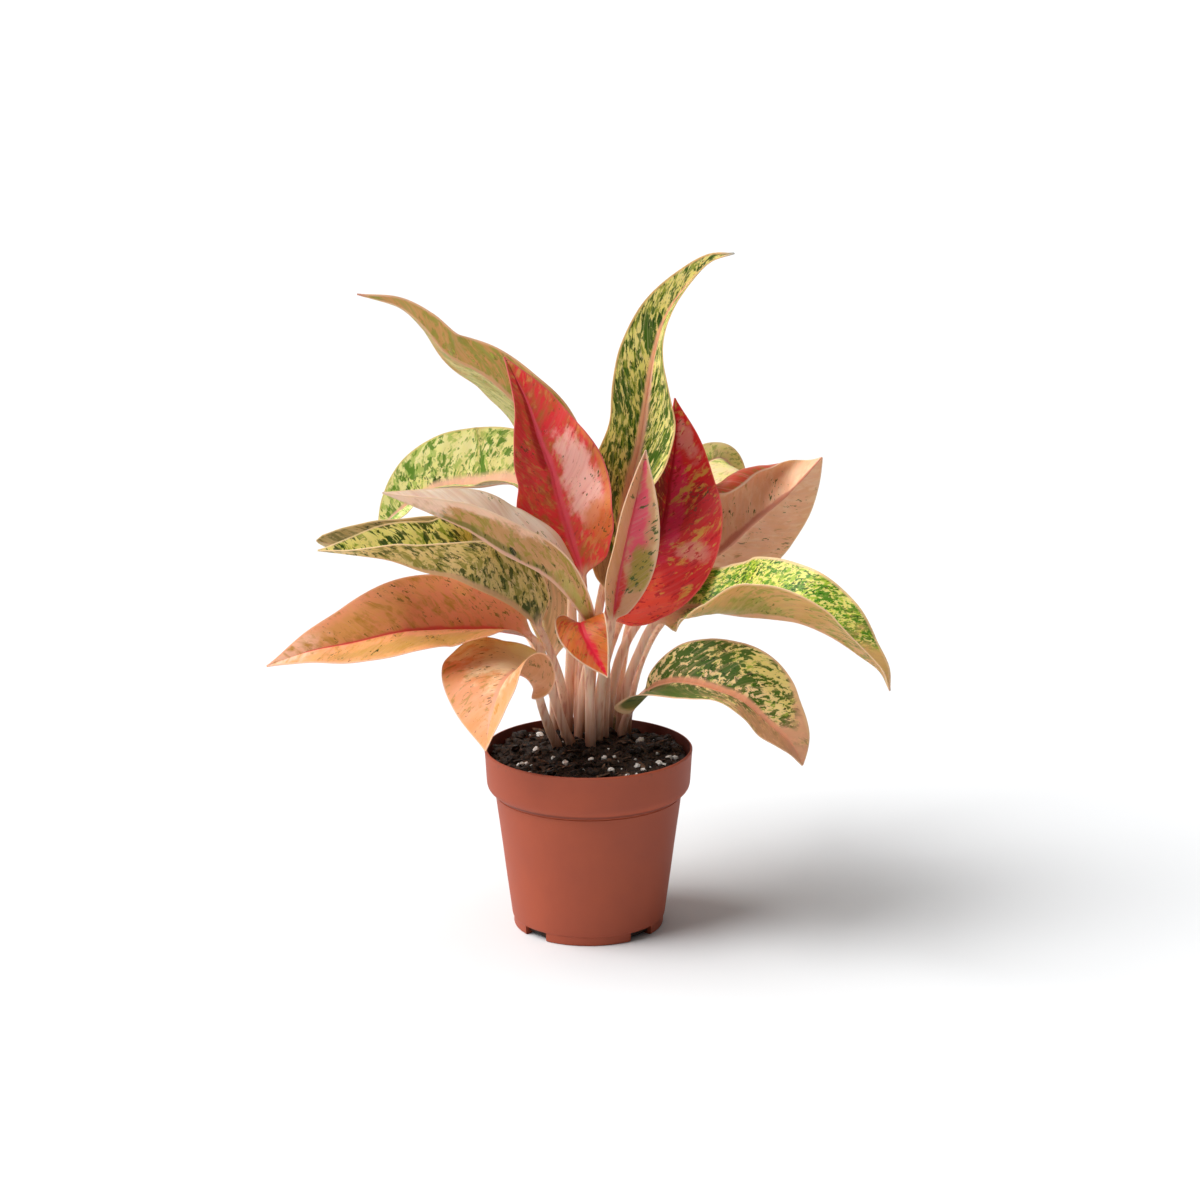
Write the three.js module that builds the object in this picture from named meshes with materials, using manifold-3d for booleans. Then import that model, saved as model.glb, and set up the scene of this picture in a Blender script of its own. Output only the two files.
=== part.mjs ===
// Potted prosperity Chinese evergreen (Aglaonema): a plastic nursery pot filled with potting mix,
// three short canes, and twenty patterned leaves, each one a stalk and blade that grew as one piece.
// Millimetres, +Z up, the origin at the middle of the pot's base, -Y towards the front of the plant.
import * as THREE from "three";
import { mergeVertices } from "three/addons/utils/BufferGeometryUtils.js";
import Module from "manifold-3d";

// Pot: a 108 mm injection-moulded nursery pot
const potHeight = 95.5;
const rimRadius = 54;
const rimLip = 1.3;
const collarFootZ = 77.2;
const collarFootRadius = 53;
const bodyTopZ = 71.6;
const bodyTopRadius = 48.5;
const bodyFootZ = 5.6;
const bodyFootRadius = 40.1;
const wall = 1.3;
const footRadius = 39.2;
const footHeight = 4.8;
const channels = 4;
const channelWidth = 15;
const channelStart = 12;
const drainHoleRadius = 3.5;
const drainRadii = [19, 30];
const potSides = 56;

// Potting mix
const fitGap = 0.3;
const soilEdgeZ = 89;
const moundHeight = 7.5;
const moundRadius = 24;
const moundCentre = [0, 15];
const soilRings = 9;
const soilSides = 32;
const lumpCount = 90;

// Canes
const canes = [
  { name: "stem_middle", at: [1.5, 12.8], top: 104 },
  { name: "stem_left", at: [-11.5, 24.5], top: 103 },
  { name: "stem_right", at: [12, 34.5], top: 102 },
];
const caneRadius = 3;
const caneFoot = 74;
const caneJoint = 6.5;
const caneScar = 0.9;
const caneSides = 10;

// Leaves
const bladeThickness = 0.8;
const ribDepth = 1.3;
const ringSteps = [0, 0.28, 0.64, 1];
const bladeRings = 13;
const stalkRings = 5;
const stalkRootRadius = 3;
const stalkNeckRadius = 2.1;
const holeClearance = 0.9;

// Repeatable draws for the lumps of the potting mix
let seed = 7;
function draw() {
  seed = (seed * 16807) % 2147483647;
  return seed / 2147483647;
}

const wasm = await Module();
wasm.setup();

// Solid for joining and cutting, from a closed geometry
function solid(geometry) {
  const bare = geometry.clone();
  bare.deleteAttribute("normal");
  bare.deleteAttribute("uv");
  const merged = mergeVertices(bare, 1e-4);
  return new wasm.Manifold(
    new wasm.Mesh({
      numProp: 3,
      vertProperties: new Float32Array(merged.attributes.position.array),
      triVerts: new Uint32Array(merged.index.array),
    }),
  );
}

// Geometry of a solid
function shell(body) {
  const mesh = body.getMesh();
  const geometry = new THREE.BufferGeometry();
  geometry.setAttribute("position", new THREE.BufferAttribute(mesh.vertProperties, 3));
  geometry.setIndex(new THREE.BufferAttribute(mesh.triVerts, 1));
  geometry.computeVertexNormals();
  return geometry;
}

const plant = new THREE.Group();

function addPiece(name, geometry, colour, roughness) {
  const material = new THREE.MeshStandardMaterial({ color: colour, roughness, metalness: 0 });
  const mesh = new THREE.Mesh(geometry, material);
  mesh.name = name;
  plant.add(mesh);
}

// Box that runs out along a diagonal of the base, from a distance off the middle to past the wall
function diagonalBar(index, start, width, bottom, top) {
  const bar = new THREE.BoxGeometry(footRadius + 4 - start, width, top - bottom);
  bar.translate((footRadius + 4 + start) / 2, 0, (bottom + top) / 2);
  bar.rotateZ(2 * Math.PI * ((index + 0.5) / channels));
  return solid(bar);
}

function lathe(outline, sides) {
  const turned = new THREE.LatheGeometry(outline.map((p) => new THREE.Vector2(...p)), sides);
  turned.rotateX(Math.PI / 2);
  return turned;
}

// Walls over the drain channels, as they stand up inside the pot, each face moved out by a gap
function channelCovers(gap) {
  const covers = [];
  for (let i = 0; i < channels; i += 1) {
    covers.push(diagonalBar(
      i, channelStart - wall - gap, channelWidth + 2 * (wall + gap), -1, footHeight + wall + gap));
  }
  return covers;
}

// Pot: a turned cup whose flat base has channels on the diagonals, with drain holes above them
function makePot() {
  let pot = solid(lathe([
    [0, 0],
    [footRadius, 0],
    [footRadius, footHeight - 0.4],
    [bodyFootRadius, bodyFootZ + 0.8],
    [bodyTopRadius, bodyTopZ],
    [collarFootRadius - 2, bodyTopZ + 1.8],
    [collarFootRadius - 0.5, bodyTopZ + 3.6],
    [collarFootRadius, collarFootZ],
    [rimRadius, potHeight - 0.5],
    [rimRadius - 0.4, potHeight],
    [0, potHeight],
  ], potSides));
  let inside = solid(lathe([
    [0, wall],
    [footRadius - wall - 1, wall],
    [footRadius - wall, wall + 1.5],
    [bodyFootRadius - wall, bodyFootZ + 2.2],
    [bodyTopRadius - wall, bodyTopZ + 0.6],
    [collarFootRadius - wall, collarFootZ + 0.6],
    [rimRadius - rimLip, potHeight - 0.6],
    [rimRadius - rimLip + 0.4, potHeight + 1],
    [0, potHeight + 1],
  ], potSides));
  for (const cover of channelCovers(0)) inside = inside.subtract(cover);
  pot = pot.subtract(inside);
  for (let i = 0; i < channels; i += 1) {
    pot = pot.subtract(diagonalBar(i, channelStart, channelWidth, -1, footHeight));
    for (const radius of drainRadii) {
      const hole = new THREE.CylinderGeometry(drainHoleRadius, drainHoleRadius, 4, 14);
      hole.rotateX(Math.PI / 2);
      hole.translate(radius, 0, footHeight + wall / 2);
      hole.rotateZ(2 * Math.PI * ((i + 0.5) / channels));
      pot = pot.subtract(solid(hole));
    }
  }
  return shell(pot);
}

// Blend between values that are evenly spaced from a blade's foot to its tip
function alongBlade(values, t) {
  const at = Math.min(Math.max(t, 0), 1) * (values.length - 1);
  const first = Math.min(Math.floor(at), values.length - 2);
  const part = at - first;
  const ease = part * part * (3 - 2 * part);
  return values[first].map((value, i) => value + (values[first + 1][i] - value) * ease);
}

const degrees = THREE.MathUtils.degToRad;

// Half-width of a blade: rounded at its foot, widest before its middle, drawn out to its tip
function bladeShape(t, belly, taper) {
  const widest = belly / (belly + taper);
  const most = widest ** belly * (1 - widest) ** taper;
  return (Math.max(t, 0) ** belly * Math.max(1 - t, 0) ** taper) / most;
}

const flatHalves = [[0, 0], [0, 0]];
const noWave = [0, 1, 0, 0];

// Rings of a leaf from the root of its stalk to its tip. Each ring is 14 points round the section:
// seven along the upper face from the left margin to the right, and seven back along the lower face.
function leafRings(leaf, extra, fromRing, toRing) {
  const curve = new THREE.CatmullRomCurve3(
    leaf.points.map((p) => new THREE.Vector3(...p)),
    false,
    "centripetal",
  );
  curve.arcLengthDivisions = 600;
  const lengths = curve.getLengths(600);
  const total = lengths[600];
  const foot = lengths[Math.round((600 * leaf.foot) / (leaf.points.length - 1))] / total;
  const rings = [];
  const last = stalkRings + bladeRings;
  for (let i = fromRing; i <= Math.min(last, toRing); i += 1) {
    const onStalk = i < stalkRings;
    const t = onStalk ? 0 : ((i - stalkRings) / bladeRings) ** 1.15;
    const s = onStalk ? (foot * i) / stalkRings : foot + (1 - foot) * t;
    const centre = curve.getPointAt(s);
    const along = curve.getTangentAt(s);
    if (i === 0) centre.addScaledVector(along, -extra);
    const face = new THREE.Vector3(...alongBlade(leaf.face, t));
    const up = face.addScaledVector(along, -face.dot(along)).normalize();
    const side = new THREE.Vector3().crossVectors(along, up);
    const stalkRadius =
      (leaf.stalk ?? 1) *
        (stalkRootRadius + (stalkNeckRadius - stalkRootRadius) * Math.min(s / foot, 1)) + extra;
    const shape = bladeShape(t, leaf.belly ?? 0.6, leaf.taper ?? 1.15);
    const toBlade = THREE.MathUtils.smoothstep(t, 0, 0.07);
    const tipFade = THREE.MathUtils.smoothstep(1 - t, 0, 0.5);
    const upper = [];
    const lower = [];
    for (let half = -1; half <= 1; half += 2) {
      const which = half < 0 ? 0 : 1;
      const fold = degrees(alongBlade(leaf.fold, t)[which]);
      const curl = degrees(alongBlade(leaf.curl ?? flatHalves, t)[which]);
      const roll = degrees(alongBlade(leaf.roll ?? flatHalves, t)[which]);
      const width = leaf.width * (leaf.share?.[which] ?? 1) * shape + 0.5;
      let x = 0;
      let y = 0;
      for (let j = 0; j < ringSteps.length; j += 1) {
        const u = ringSteps[j];
        const step = j === 0 ? 0 : u - ringSteps[j - 1];
        const middle = fold + curl * (u - step / 2) + roll * (u - step / 2) ** 3;
        x += half * Math.cos(middle) * step * width;
        y += Math.sin(middle) * step * width;
        const wave = leaf.wave ?? noWave;
        const ripple =
          wave[0] * u * u * Math.min(shape, 1) *
          Math.sin(2 * Math.PI * (wave[1] * t + wave[2 + which]));
        const angle = j === 0 ? 0 : fold + curl * u + roll * u ** 3;
        const nx = -half * Math.sin(angle);
        const ny = Math.cos(angle);
        const thick = bladeThickness / 2;
        const rib = j === 0 ? ribDepth * (leaf.stalk ?? 1) * tipFade : 0;
        const round = Math.sin((u * Math.PI) / 2);
        const stalkX = half * stalkRadius * round;
        const rise = Math.cos((u * Math.PI) / 2);
        const blend = THREE.MathUtils.lerp;
        const top = [
          blend(stalkX, x + nx * (ripple + thick), toBlade),
          blend(stalkRadius * (0.35 + 0.1 * rise), y + ny * (ripple + thick), toBlade),
        ];
        const bottom = [
          blend(stalkX, x + nx * (ripple - thick), toBlade),
          blend(-stalkRadius * (0.35 + 0.6 * rise), y + ny * (ripple - thick) - rib, toBlade),
        ];
        const back = (leaf.lobe?.[which] ?? 0) * u * u * Math.min(2 * shape, 1) * Math.max(1 - 3 * t, 0);
        const place = ([a, b]) => centre.clone()
          .addScaledVector(side, a)
          .addScaledVector(up, b)
          .addScaledVector(along, -back);
        if (half < 0) {
          upper.unshift(place(top));
          lower.push(place(bottom));
        } else if (j > 0) {
          upper.push(place(top));
          lower.unshift(place(bottom));
        }
      }
    }
    rings.push([...upper, ...lower]);
  }
  return rings;
}

// Closed skin over a row of rings, with both faces of the blade split along like diagonals
function skin(rings) {
  const count = rings[0].length;
  const positions = rings.flat().flatMap((p) => [p.x, p.y, p.z]);
  const triangles = [];
  for (let i = 0; i + 1 < rings.length; i += 1) {
    for (let j = 0; j < count; j += 1) {
      const k = (j + 1) % count;
      const a = i * count + j;
      const b = i * count + k;
      const c = (i + 1) * count + k;
      const d = (i + 1) * count + j;
      if (j < count / 2) triangles.push(a, b, c, a, c, d);
      else triangles.push(a, b, d, b, c, d);
    }
  }
  const end = (rings.length - 1) * count;
  const across = count / 2;
  for (let j = 0; j + 1 < across; j += 1) {
    const a = j;
    const b = j + 1;
    const c = count - 2 - j;
    const d = count - 1 - j;
    triangles.push(a, c, b, a, d, c);
    triangles.push(end + a, end + b, end + c, end + a, end + c, end + d);
  }
  const geometry = new THREE.BufferGeometry();
  geometry.setAttribute("position", new THREE.Float32BufferAttribute(positions, 3));
  geometry.setIndex(triangles);
  geometry.computeVertexNormals();
  return geometry;
}

const leafColours = {
  red: 0xb8323a,
  mottled: 0x8f9a45,
  salmon: 0xd08058,
  pale: 0xc49a66,
};

// The leaves. Points run from the root in the potting mix to the tip of the blade, and foot is the
// number of the point where the stalk ends and the blade begins. Width is that of one half. Face is
// the way the upper side looks, fold the rise of the left and right halves from the midrib, curl the
// further turn towards each margin, and roll a turn at the margin alone, all evenly spaced from the
// blade's foot to its tip. Wave is the height and number of the margin's waves, and where they start
// on each side.
const leaves = [
  {
    name: "leaf_red_left",
    kind: "red",
    points: [[-4, 18, 80], [-4, 18, 100], [-3, 15, 140], [-3, 12, 166], [-3, 11, 183],
      [-9, 12, 203], [-15, 13, 224], [-19, 14, 240], [-25, 16, 255], [-32, 19, 275],
      [-39, 22, 289], [-43, 24, 296]],
    foot: 4,
    width: 28.5,
    face: [[0, -0.97, 0.2], [0.1, -0.97, 0.2], [0.3, -0.9, 0.2], [0.5, -0.8, 0.3], [0.5, -0.8, 0.4]],
    fold: [[28, 28], [28, 28], [28, 28]],
    curl: [[8, 8], [0, 5], [0, 0]],
    wave: [1.2, 2.5, 0.1, 0.6],
  },
  {
    name: "leaf_tall",
    kind: "mottled",
    points: [[4, 20, 80], [4, 20, 100], [6, 20, 120], [10, 24, 141], [13, 29, 164],
      [15, 33, 188], [20, 35, 219], [26, 35, 246], [30, 35, 272], [34, 34, 295], [40, 34, 315],
      [51, 33, 332], [63, 29, 345], [74, 25, 349]],
    foot: 4,
    width: 24,
    face: [[-0.2, -0.95, 0.1], [-0.45, -0.85, 0.2], [0, -0.97, 0.2], [-0.55, -0.65, 0.5],
      [-0.55, -0.6, 0.55]],
    fold: [[30, 30], [40, 40], [42, 42], [42, 42], [45, 40]],
    curl: [[0, 0], [0, 10], [10, 0]],
    belly: 0.75,
    wave: [1.5, 3, 0, 0.5],
  },
  {
    name: "leaf_red_right",
    kind: "red",
    points: [[8, 13, 80], [8, 13, 100], [9, 10, 135], [8, 7, 154], [8, 7, 160], [20, 9, 175],
      [29, 14, 187], [34, 21, 197], [39, 31, 211], [42, 42, 227], [45, 49, 247], [45, 54, 269]],
    foot: 4,
    width: 32,
    face: [[0.35, -0.85, -0.1], [0.5, -0.85, 0.1], [0.5, -0.8, 0.3]],
    share: [0.5, 1],
    fold: [[10, 42], [14, 40], [20, 30]],
    curl: [[10, 10], [0, 5], [0, 0]],
    belly: 0.8,
    wave: [1, 2, 0.3, 0.1],
  },
  {
    name: "leaf_young",
    kind: "red",
    points: [[5, 6, 80], [5, 6, 100], [7, 1, 130], [9, -3, 147], [12, -7, 164], [15, -10, 187],
      [19, -12, 208], [24, -13, 230], [29, -11, 255]],
    foot: 4,
    width: 17,
    face: [[0.4, -0.85, 0.1], [0.45, -0.85, 0.2], [0.3, -0.85, 0.3]],
    fold: [[40, 30], [42, 25], [40, 40]],
    belly: 0.8,
  },
  {
    name: "leaf_front_tip",
    kind: "red",
    points: [[1, 1, 80], [1, 1, 100], [0, -3, 141], [-2, -7, 158], [-4, -15, 166],
      [-1, -24, 160], [10, -32, 142]],
    foot: 3,
    width: 13,
    face: [[0, -0.3, 0.9], [-0.2, -0.7, 0.7], [-0.2, -0.9, 0.4]],
    fold: [[15, 15], [10, 10], [10, 10]],
  },
  {
    name: "leaf_left_pale",
    kind: "pale",
    points: [[-5, 9, 80], [-5, 9, 100], [-2, 6, 130], [2, 2, 149], [3, -4, 158], [-5, -13, 174],
      [-20, -23, 193], [-42, -33, 208], [-59, -36, 220], [-74, -37, 227], [-102, -38, 239]],
    foot: 4,
    width: 25,
    share: [0.6, 1.1],
    face: [[0.6, 0.3, 0.7], [0.45, 0.3, 0.85], [0.3, 0.1, 0.9]],
    fold: [[40, 45], [75, 60], [60, 55]],
    belly: 1.05,
    wave: [1, 2.5, 0.2, 0.5],
  },
  {
    name: "leaf_left_high",
    kind: "pale",
    points: [[-5, 25, 80], [-5, 25, 100], [-8, 33, 145], [-10, 45, 190], [-14, 52, 226],
      [-25, 56, 252], [-39, 59, 267], [-54, 62, 280], [-74, 65, 291], [-86, 67, 305],
      [-99, 69, 315], [-121, 70, 321]],
    foot: 3,
    width: 18,
    face: [[0.33, 0.93, 0.15], [0.33, 0.93, 0.15], [0.4, 0.87, 0.28], [0.5, 0.75, 0.42],
      [0.5, 0.7, 0.5]],
    share: [1, 1.45],
    fold: [[30, 30], [30, 30], [30, 30]],
    wave: [1.2, 2.5, 0.6, 0.1],
  },
  {
    name: "leaf_left_mottled",
    kind: "mottled",
    points: [[-11, 17, 80], [-11, 17, 100], [-9, 22, 150], [-10, 28, 190], [-21, 33, 216],
      [-39, 38, 227], [-57, 41, 225], [-72, 43, 224], [-85, 43, 220], [-99, 42, 211],
      [-110, 41, 201]],
    foot: 4,
    width: 30,
    face: [[0.3, -0.6, 0.7], [0, -0.5, 0.86], [-0.4, -0.6, 0.6]],
    fold: [[45, 35], [45, 45], [35, 35]],
    taper: 0.95,
    wave: [1.5, 2.5, 0.6, 0.1],
  },
  {
    name: "leaf_left_big",
    kind: "mottled",
    points: [[-12, 11, 80], [-12, 11, 100], [-13, 9, 119], [-15, 4, 132], [-20, -1, 148],
      [-25, -7, 161], [-35, -14, 173], [-45, -20, 181], [-55, -24, 187], [-67, -28, 194],
      [-82, -31, 198], [-99, -33, 204], [-119, -35, 207], [-135, -36, 209]],
    foot: 5,
    width: 27,
    share: [0.95, 1.2],
    face: [[0.4, 0.8, 0.5], [0, 0.7, 0.71], [0, 0, 1], [0, -0.2, 0.97], [0, -0.3, 0.95]],
    fold: [[45, 45], [60, 60], [57, 57], [50, 50], [45, 45]],
    wave: [1.5, 3, 0.2, 0.7],
  },
  {
    name: "leaf_left_olive",
    kind: "pale",
    points: [[-18, 24, 80], [-18, 24, 100], [-19, 31, 132], [-22, 35, 150], [-28, 35, 168],
      [-39, 32, 183], [-56, 29, 193], [-77, 27, 196], [-98, 26, 197], [-118, 25, 197],
      [-133, 24, 198], [-141, 23, 200]],
    foot: 2,
    width: 20,
    share: [1.1, 0.9],
    face: [[0.3, 0.6, 0.7], [0, 0.7, 0.7], [0, 0.7, 0.7]],
    fold: [[15, 15], [15, 15], [15, 15]],
    belly: 0.5,
    taper: 0.55,
    wave: [1, 2.5, 0, 0.5],
  },
  {
    name: "leaf_right_arch",
    kind: "mottled",
    points: [[17, 26, 80], [17, 26, 100], [20, 25, 121], [27, 22, 142], [34, 18, 157],
      [45, 14, 165], [55, 9, 168], [65, 2, 168], [77, -9, 169], [92, -21, 171],
      [107, -31, 171], [122, -35, 165], [137, -38, 155], [147, -39, 147], [152, -39, 137]],
    foot: 4,
    width: 30,
    face: [[0, -0.8, 0.6], [0, -0.6, 0.8], [0, -0.2, 0.98], [0, -0.2, 0.98], [0.2, -0.3, 0.9]],
    fold: [[5, 5], [28, 30], [57, 57], [50, 50], [35, 35]],
    belly: 0.9,
    wave: [1.8, 3, 0.1, 0.4],
  },
  {
    name: "leaf_right_low",
    kind: "mottled",
    points: [[17, 19, 78], [17, 19, 96], [19, 16, 106], [23, 10, 115], [28, 3, 123],
      [35, -4, 130], [47, -12, 134], [57, -18, 134], [67, -23, 132], [77, -27, 129],
      [92, -31, 117], [103, -33, 107], [109, -34, 96]],
    foot: 4,
    width: 27,
    lobe: [0, 50],
    face: [[-0.3, -0.5, 0.8], [0.1, -0.63, 0.78], [0.3, -0.6, 0.7], [0.5, -0.6, 0.6],
      [0.6, -0.6, 0.5]],
    fold: [[25, -30], [37, 25], [37, 37], [30, 30], [25, 25]],
    belly: 1.05,
    taper: 0.95,
    wave: [1.2, 2.5, 0.4, 0.8],
  },
  {
    name: "leaf_right_peach",
    kind: "pale",
    points: [[10, 28, 80], [10, 28, 100], [12, 29, 117], [18, 28, 140], [28, 30, 157],
      [48, 39, 175], [71, 47, 190], [88, 53, 204], [107, 58, 219], [123, 61, 236]],
    foot: 5,
    width: 27,
    share: [1, 1.6],
    face: [[-0.2, 0.9, 0.1], [-0.1, 0.95, -0.1], [0, 0.9, -0.1]],
    fold: [[10, 10], [12, 12], [20, 75]],
    roll: [[0, 0], [0, 0], [0, -220], [0, -220], [0, 0]],
    taper: 0.95,
    wave: [1, 2, 0.4, 0.1],
  },
  {
    name: "leaf_right_rear",
    kind: "mottled",
    points: [[5, 37, 80], [5, 37, 100], [9, 42, 130], [20, 51, 158], [36, 64, 188],
      [49, 73, 212], [60, 81, 226], [71, 91, 229], [80, 100, 218], [85, 108, 200]],
    foot: 4,
    width: 23,
    share: [0.5, 1],
    face: [[-0.4, -0.8, 0.4], [-0.3, -0.8, 0.5], [-0.1, -0.6, 0.8]],
    fold: [[20, 20], [20, 20], [20, 20]],
    wave: [1, 2, 0.4, 0.1],
  },
  {
    name: "leaf_left_low",
    kind: "salmon",
    points: [[-16, -1, 78], [-16, -1, 95], [-20, -4, 106], [-24, -9, 120], [-26, -13, 129],
      [-30, -21, 139], [-37, -34, 145], [-43, -47, 142], [-48, -58, 130], [-51, -67, 114]],
    foot: 4,
    width: 31,
    share: [0.66, 1.15],
    face: [[-0.1, -0.6, 0.8], [-0.3, -0.7, 0.6], [-0.4, -0.9, 0.3]],
    fold: [[0, 10], [45, 5], [30, 0]],
    wave: [1, 2, 0.4, 0.1],
    belly: 0.8,
  },
  {
    name: "leaf_left_salmon",
    kind: "salmon",
    points: [[-9, 2, 78], [-9, 2, 96], [-13, -1, 107], [-18, -3, 124], [-22, -4, 140],
      [-28, -3, 154], [-43, -1, 158], [-61, -6, 160], [-81, -14, 162], [-95, -22, 163],
      [-120, -29, 159], [-140, -33, 156], [-162, -36, 149]],
    foot: 5,
    width: 28,
    face: [[0, -0.5, 0.8], [0, -0.71, 0.7], [0, -0.71, 0.7]],
    fold: [[55, 35], [35, 30], [20, 25]],
    taper: 1.25,
    wave: [1, 2, 0.4, 0.1],
    belly: 0.75,
  },
  {
    name: "leaf_rear_tall",
    kind: "mottled",
    points: [[0, 33, 80], [0, 33, 100], [4, 39, 150], [11, 48, 185], [17, 66, 213],
      [18, 89, 224], [16, 114, 217], [12, 136, 194]],
    foot: 3,
    width: 26,
    belly: 0.9,
    face: [[0, -0.8, 0.6], [0, -0.2, 1], [0, 0.6, 0.8]],
    fold: [[20, 20], [22, 22], [15, 15]],
    wave: [1.5, 2.5, 0.2, 0.6],
  },
  {
    name: "leaf_rear_right",
    kind: "salmon",
    points: [[15, 41, 80], [15, 41, 100], [18, 46, 130], [24, 55, 155], [33, 66, 178],
      [50, 86, 184], [69, 106, 184], [84, 125, 172], [95, 142, 154]],
    foot: 4,
    width: 25,
    face: [[-0.3, -0.6, 0.7], [0, 0, 1], [0.3, 0.5, 0.8]],
    fold: [[20, 20], [20, 20], [15, 15]],
    wave: [1.2, 2.5, 0.4, 0.9],
  },
  {
    name: "leaf_rear_low_left",
    kind: "mottled",
    points: [[-12, 31, 80], [-12, 31, 98], [-16, 33, 116], [-24, 37, 132], [-35, 46, 147],
      [-52, 62, 158], [-76, 87, 152], [-100, 112, 134]],
    foot: 4,
    width: 23,
    face: [[0.3, -0.4, 0.8], [0, 0, 1], [-0.3, 0.4, 0.8]],
    fold: [[15, 15], [15, 15], [10, 10]],
    wave: [1.2, 2.5, 0.1, 0.6],
  },
  {
    name: "leaf_rear_low_right",
    kind: "mottled",
    points: [[20, 34, 80], [20, 34, 98], [23, 36, 116], [28, 40, 132], [38, 49, 148],
      [56, 66, 158], [80, 88, 153], [105, 114, 134]],
    foot: 4,
    width: 23,
    face: [[-0.3, -0.4, 0.8], [0, 0, 1], [0.3, 0.4, 0.8]],
    fold: [[15, 15], [15, 15], [10, 10]],
    wave: [1.2, 2.5, 0.5, 0],
  },
];

// Potting mix: fills the pot under a low mound, with plain holes where stalks and canes stand
function makeSoil(openings) {
  const lumps = [];
  for (let i = 0; i < lumpCount; i += 1) {
    const radius = 50 * Math.sqrt(draw());
    const turn = 2 * Math.PI * draw();
    lumps.push([radius * Math.cos(turn), radius * Math.sin(turn), 0.6 + 1.6 * draw(), 2.6 + 2.2 * draw()]);
  }
  const surface = (x, y) => {
    const away = Math.hypot(x - moundCentre[0], y - moundCentre[1]) / moundRadius;
    let height = soilEdgeZ + moundHeight * Math.exp(-away * away);
    for (const [lx, ly, rise, spread] of lumps) {
      height += rise * Math.exp(-((x - lx) ** 2 + (y - ly) ** 2) / spread ** 2);
    }
    return height;
  };
  const edgeRadius = (z) => {
    const part = (z - collarFootZ) / (potHeight - collarFootZ);
    const inner = collarFootRadius - wall + (rimRadius - rimLip - collarFootRadius + wall) * part;
    return inner - fitGap - 0.1;
  };
  const positions = [];
  const triangles = [];
  const point = (radius, turn, z) => {
    positions.push(radius * Math.cos(turn), radius * Math.sin(turn), z);
  };
  positions.push(0, 0, surface(0, 0));
  const edge = edgeRadius(soilEdgeZ - 1);
  for (let i = 1; i <= soilRings; i += 1) {
    for (let j = 0; j < soilSides; j += 1) {
      const turn = (2 * Math.PI * (j + (i % 2) / 2)) / soilSides;
      const radius = (edge * i) / soilRings;
      const z = i === soilRings
        ? soilEdgeZ - 1
        : surface(radius * Math.cos(turn), radius * Math.sin(turn));
      point(radius, turn, z);
    }
  }
  const sides = [
    [collarFootRadius - wall - fitGap - 0.2, collarFootZ + 0.8],
    [bodyTopRadius - wall - fitGap - 0.2, bodyTopZ + 0.4],
    [bodyFootRadius - wall - fitGap - 0.2, bodyFootZ + 3],
    [footRadius - wall - fitGap - 1.2, wall + fitGap],
  ];
  for (const [radius, z] of sides) {
    for (let j = 0; j < soilSides; j += 1) {
      point(radius, (2 * Math.PI * (j + (soilRings % 2) / 2)) / soilSides, z);
    }
  }
  positions.push(0, 0, wall + fitGap);
  const lastPoint = positions.length / 3 - 1;
  for (let j = 0; j < soilSides; j += 1) {
    const k = (j + 1) % soilSides;
    triangles.push(0, 1 + j, 1 + k);
    for (let i = 0; i < soilRings + sides.length - 1; i += 1) {
      const a = 1 + i * soilSides;
      const b = a + soilSides;
      const shifted = i < soilRings - 1 && i % 2 === 1;
      if (shifted) triangles.push(a + j, b + j, b + k, a + j, b + k, a + k);
      else triangles.push(a + j, b + j, a + k, a + k, b + j, b + k);
    }
    const a = 1 + (soilRings + sides.length - 1) * soilSides;
    triangles.push(a + j, lastPoint, a + k);
  }
  const geometry = new THREE.BufferGeometry();
  geometry.setAttribute("position", new THREE.Float32BufferAttribute(positions, 3));
  geometry.setIndex(triangles);
  let soil = solid(geometry);
  for (const cover of channelCovers(fitGap)) soil = soil.subtract(cover);
  for (const opening of openings) soil = soil.subtract(solid(opening));
  return shell(soil);
}

// Canes: short woody stems with the ring scars of old leaves, cut off level a little above the mix
function makeCane([x, y], top) {
  const outline = [[0, caneFoot], [caneRadius - 0.3, caneFoot]];
  for (let z = caneFoot + caneJoint; z < top - caneJoint / 2; z += caneJoint) {
    outline.push([caneRadius - 0.3, z - caneScar], [caneRadius, z], [caneRadius - 0.3, z + caneScar]);
  }
  outline.push([caneRadius - 0.3, top - 0.8], [caneRadius - 1.1, top], [0, top]);
  const cane = lathe(outline, caneSides);
  cane.translate(x, y, 0);
  return shell(solid(cane));
}

addPiece("pot", makePot(), 0xb0603f, 0.6);
const openings = [];
for (const { name, at, top } of canes) {
  addPiece(name, makeCane(at, top), 0x8a6a45, 0.8);
  const hole = new THREE.CylinderGeometry(caneRadius + 0.5, caneRadius + 0.5, top - caneFoot, caneSides);
  hole.rotateX(Math.PI / 2);
  hole.translate(...at, (top + caneFoot) / 2 - 0.5);
  openings.push(hole);
}
for (const leaf of leaves) {
  addPiece(leaf.name, skin(leafRings(leaf, 0, 0, 99)), leafColours[leaf.kind], 0.45);
  const hole = leafRings(leaf, holeClearance, 0, 2);
  openings.push(skin(hole.map((ring) => ring.filter((_, i) => (i < 7) === (i % 2 === 0)))));
}
addPiece("soil", makeSoil(openings), 0x2a1d16, 0.95);

export default plant;
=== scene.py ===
import math
import random

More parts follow.
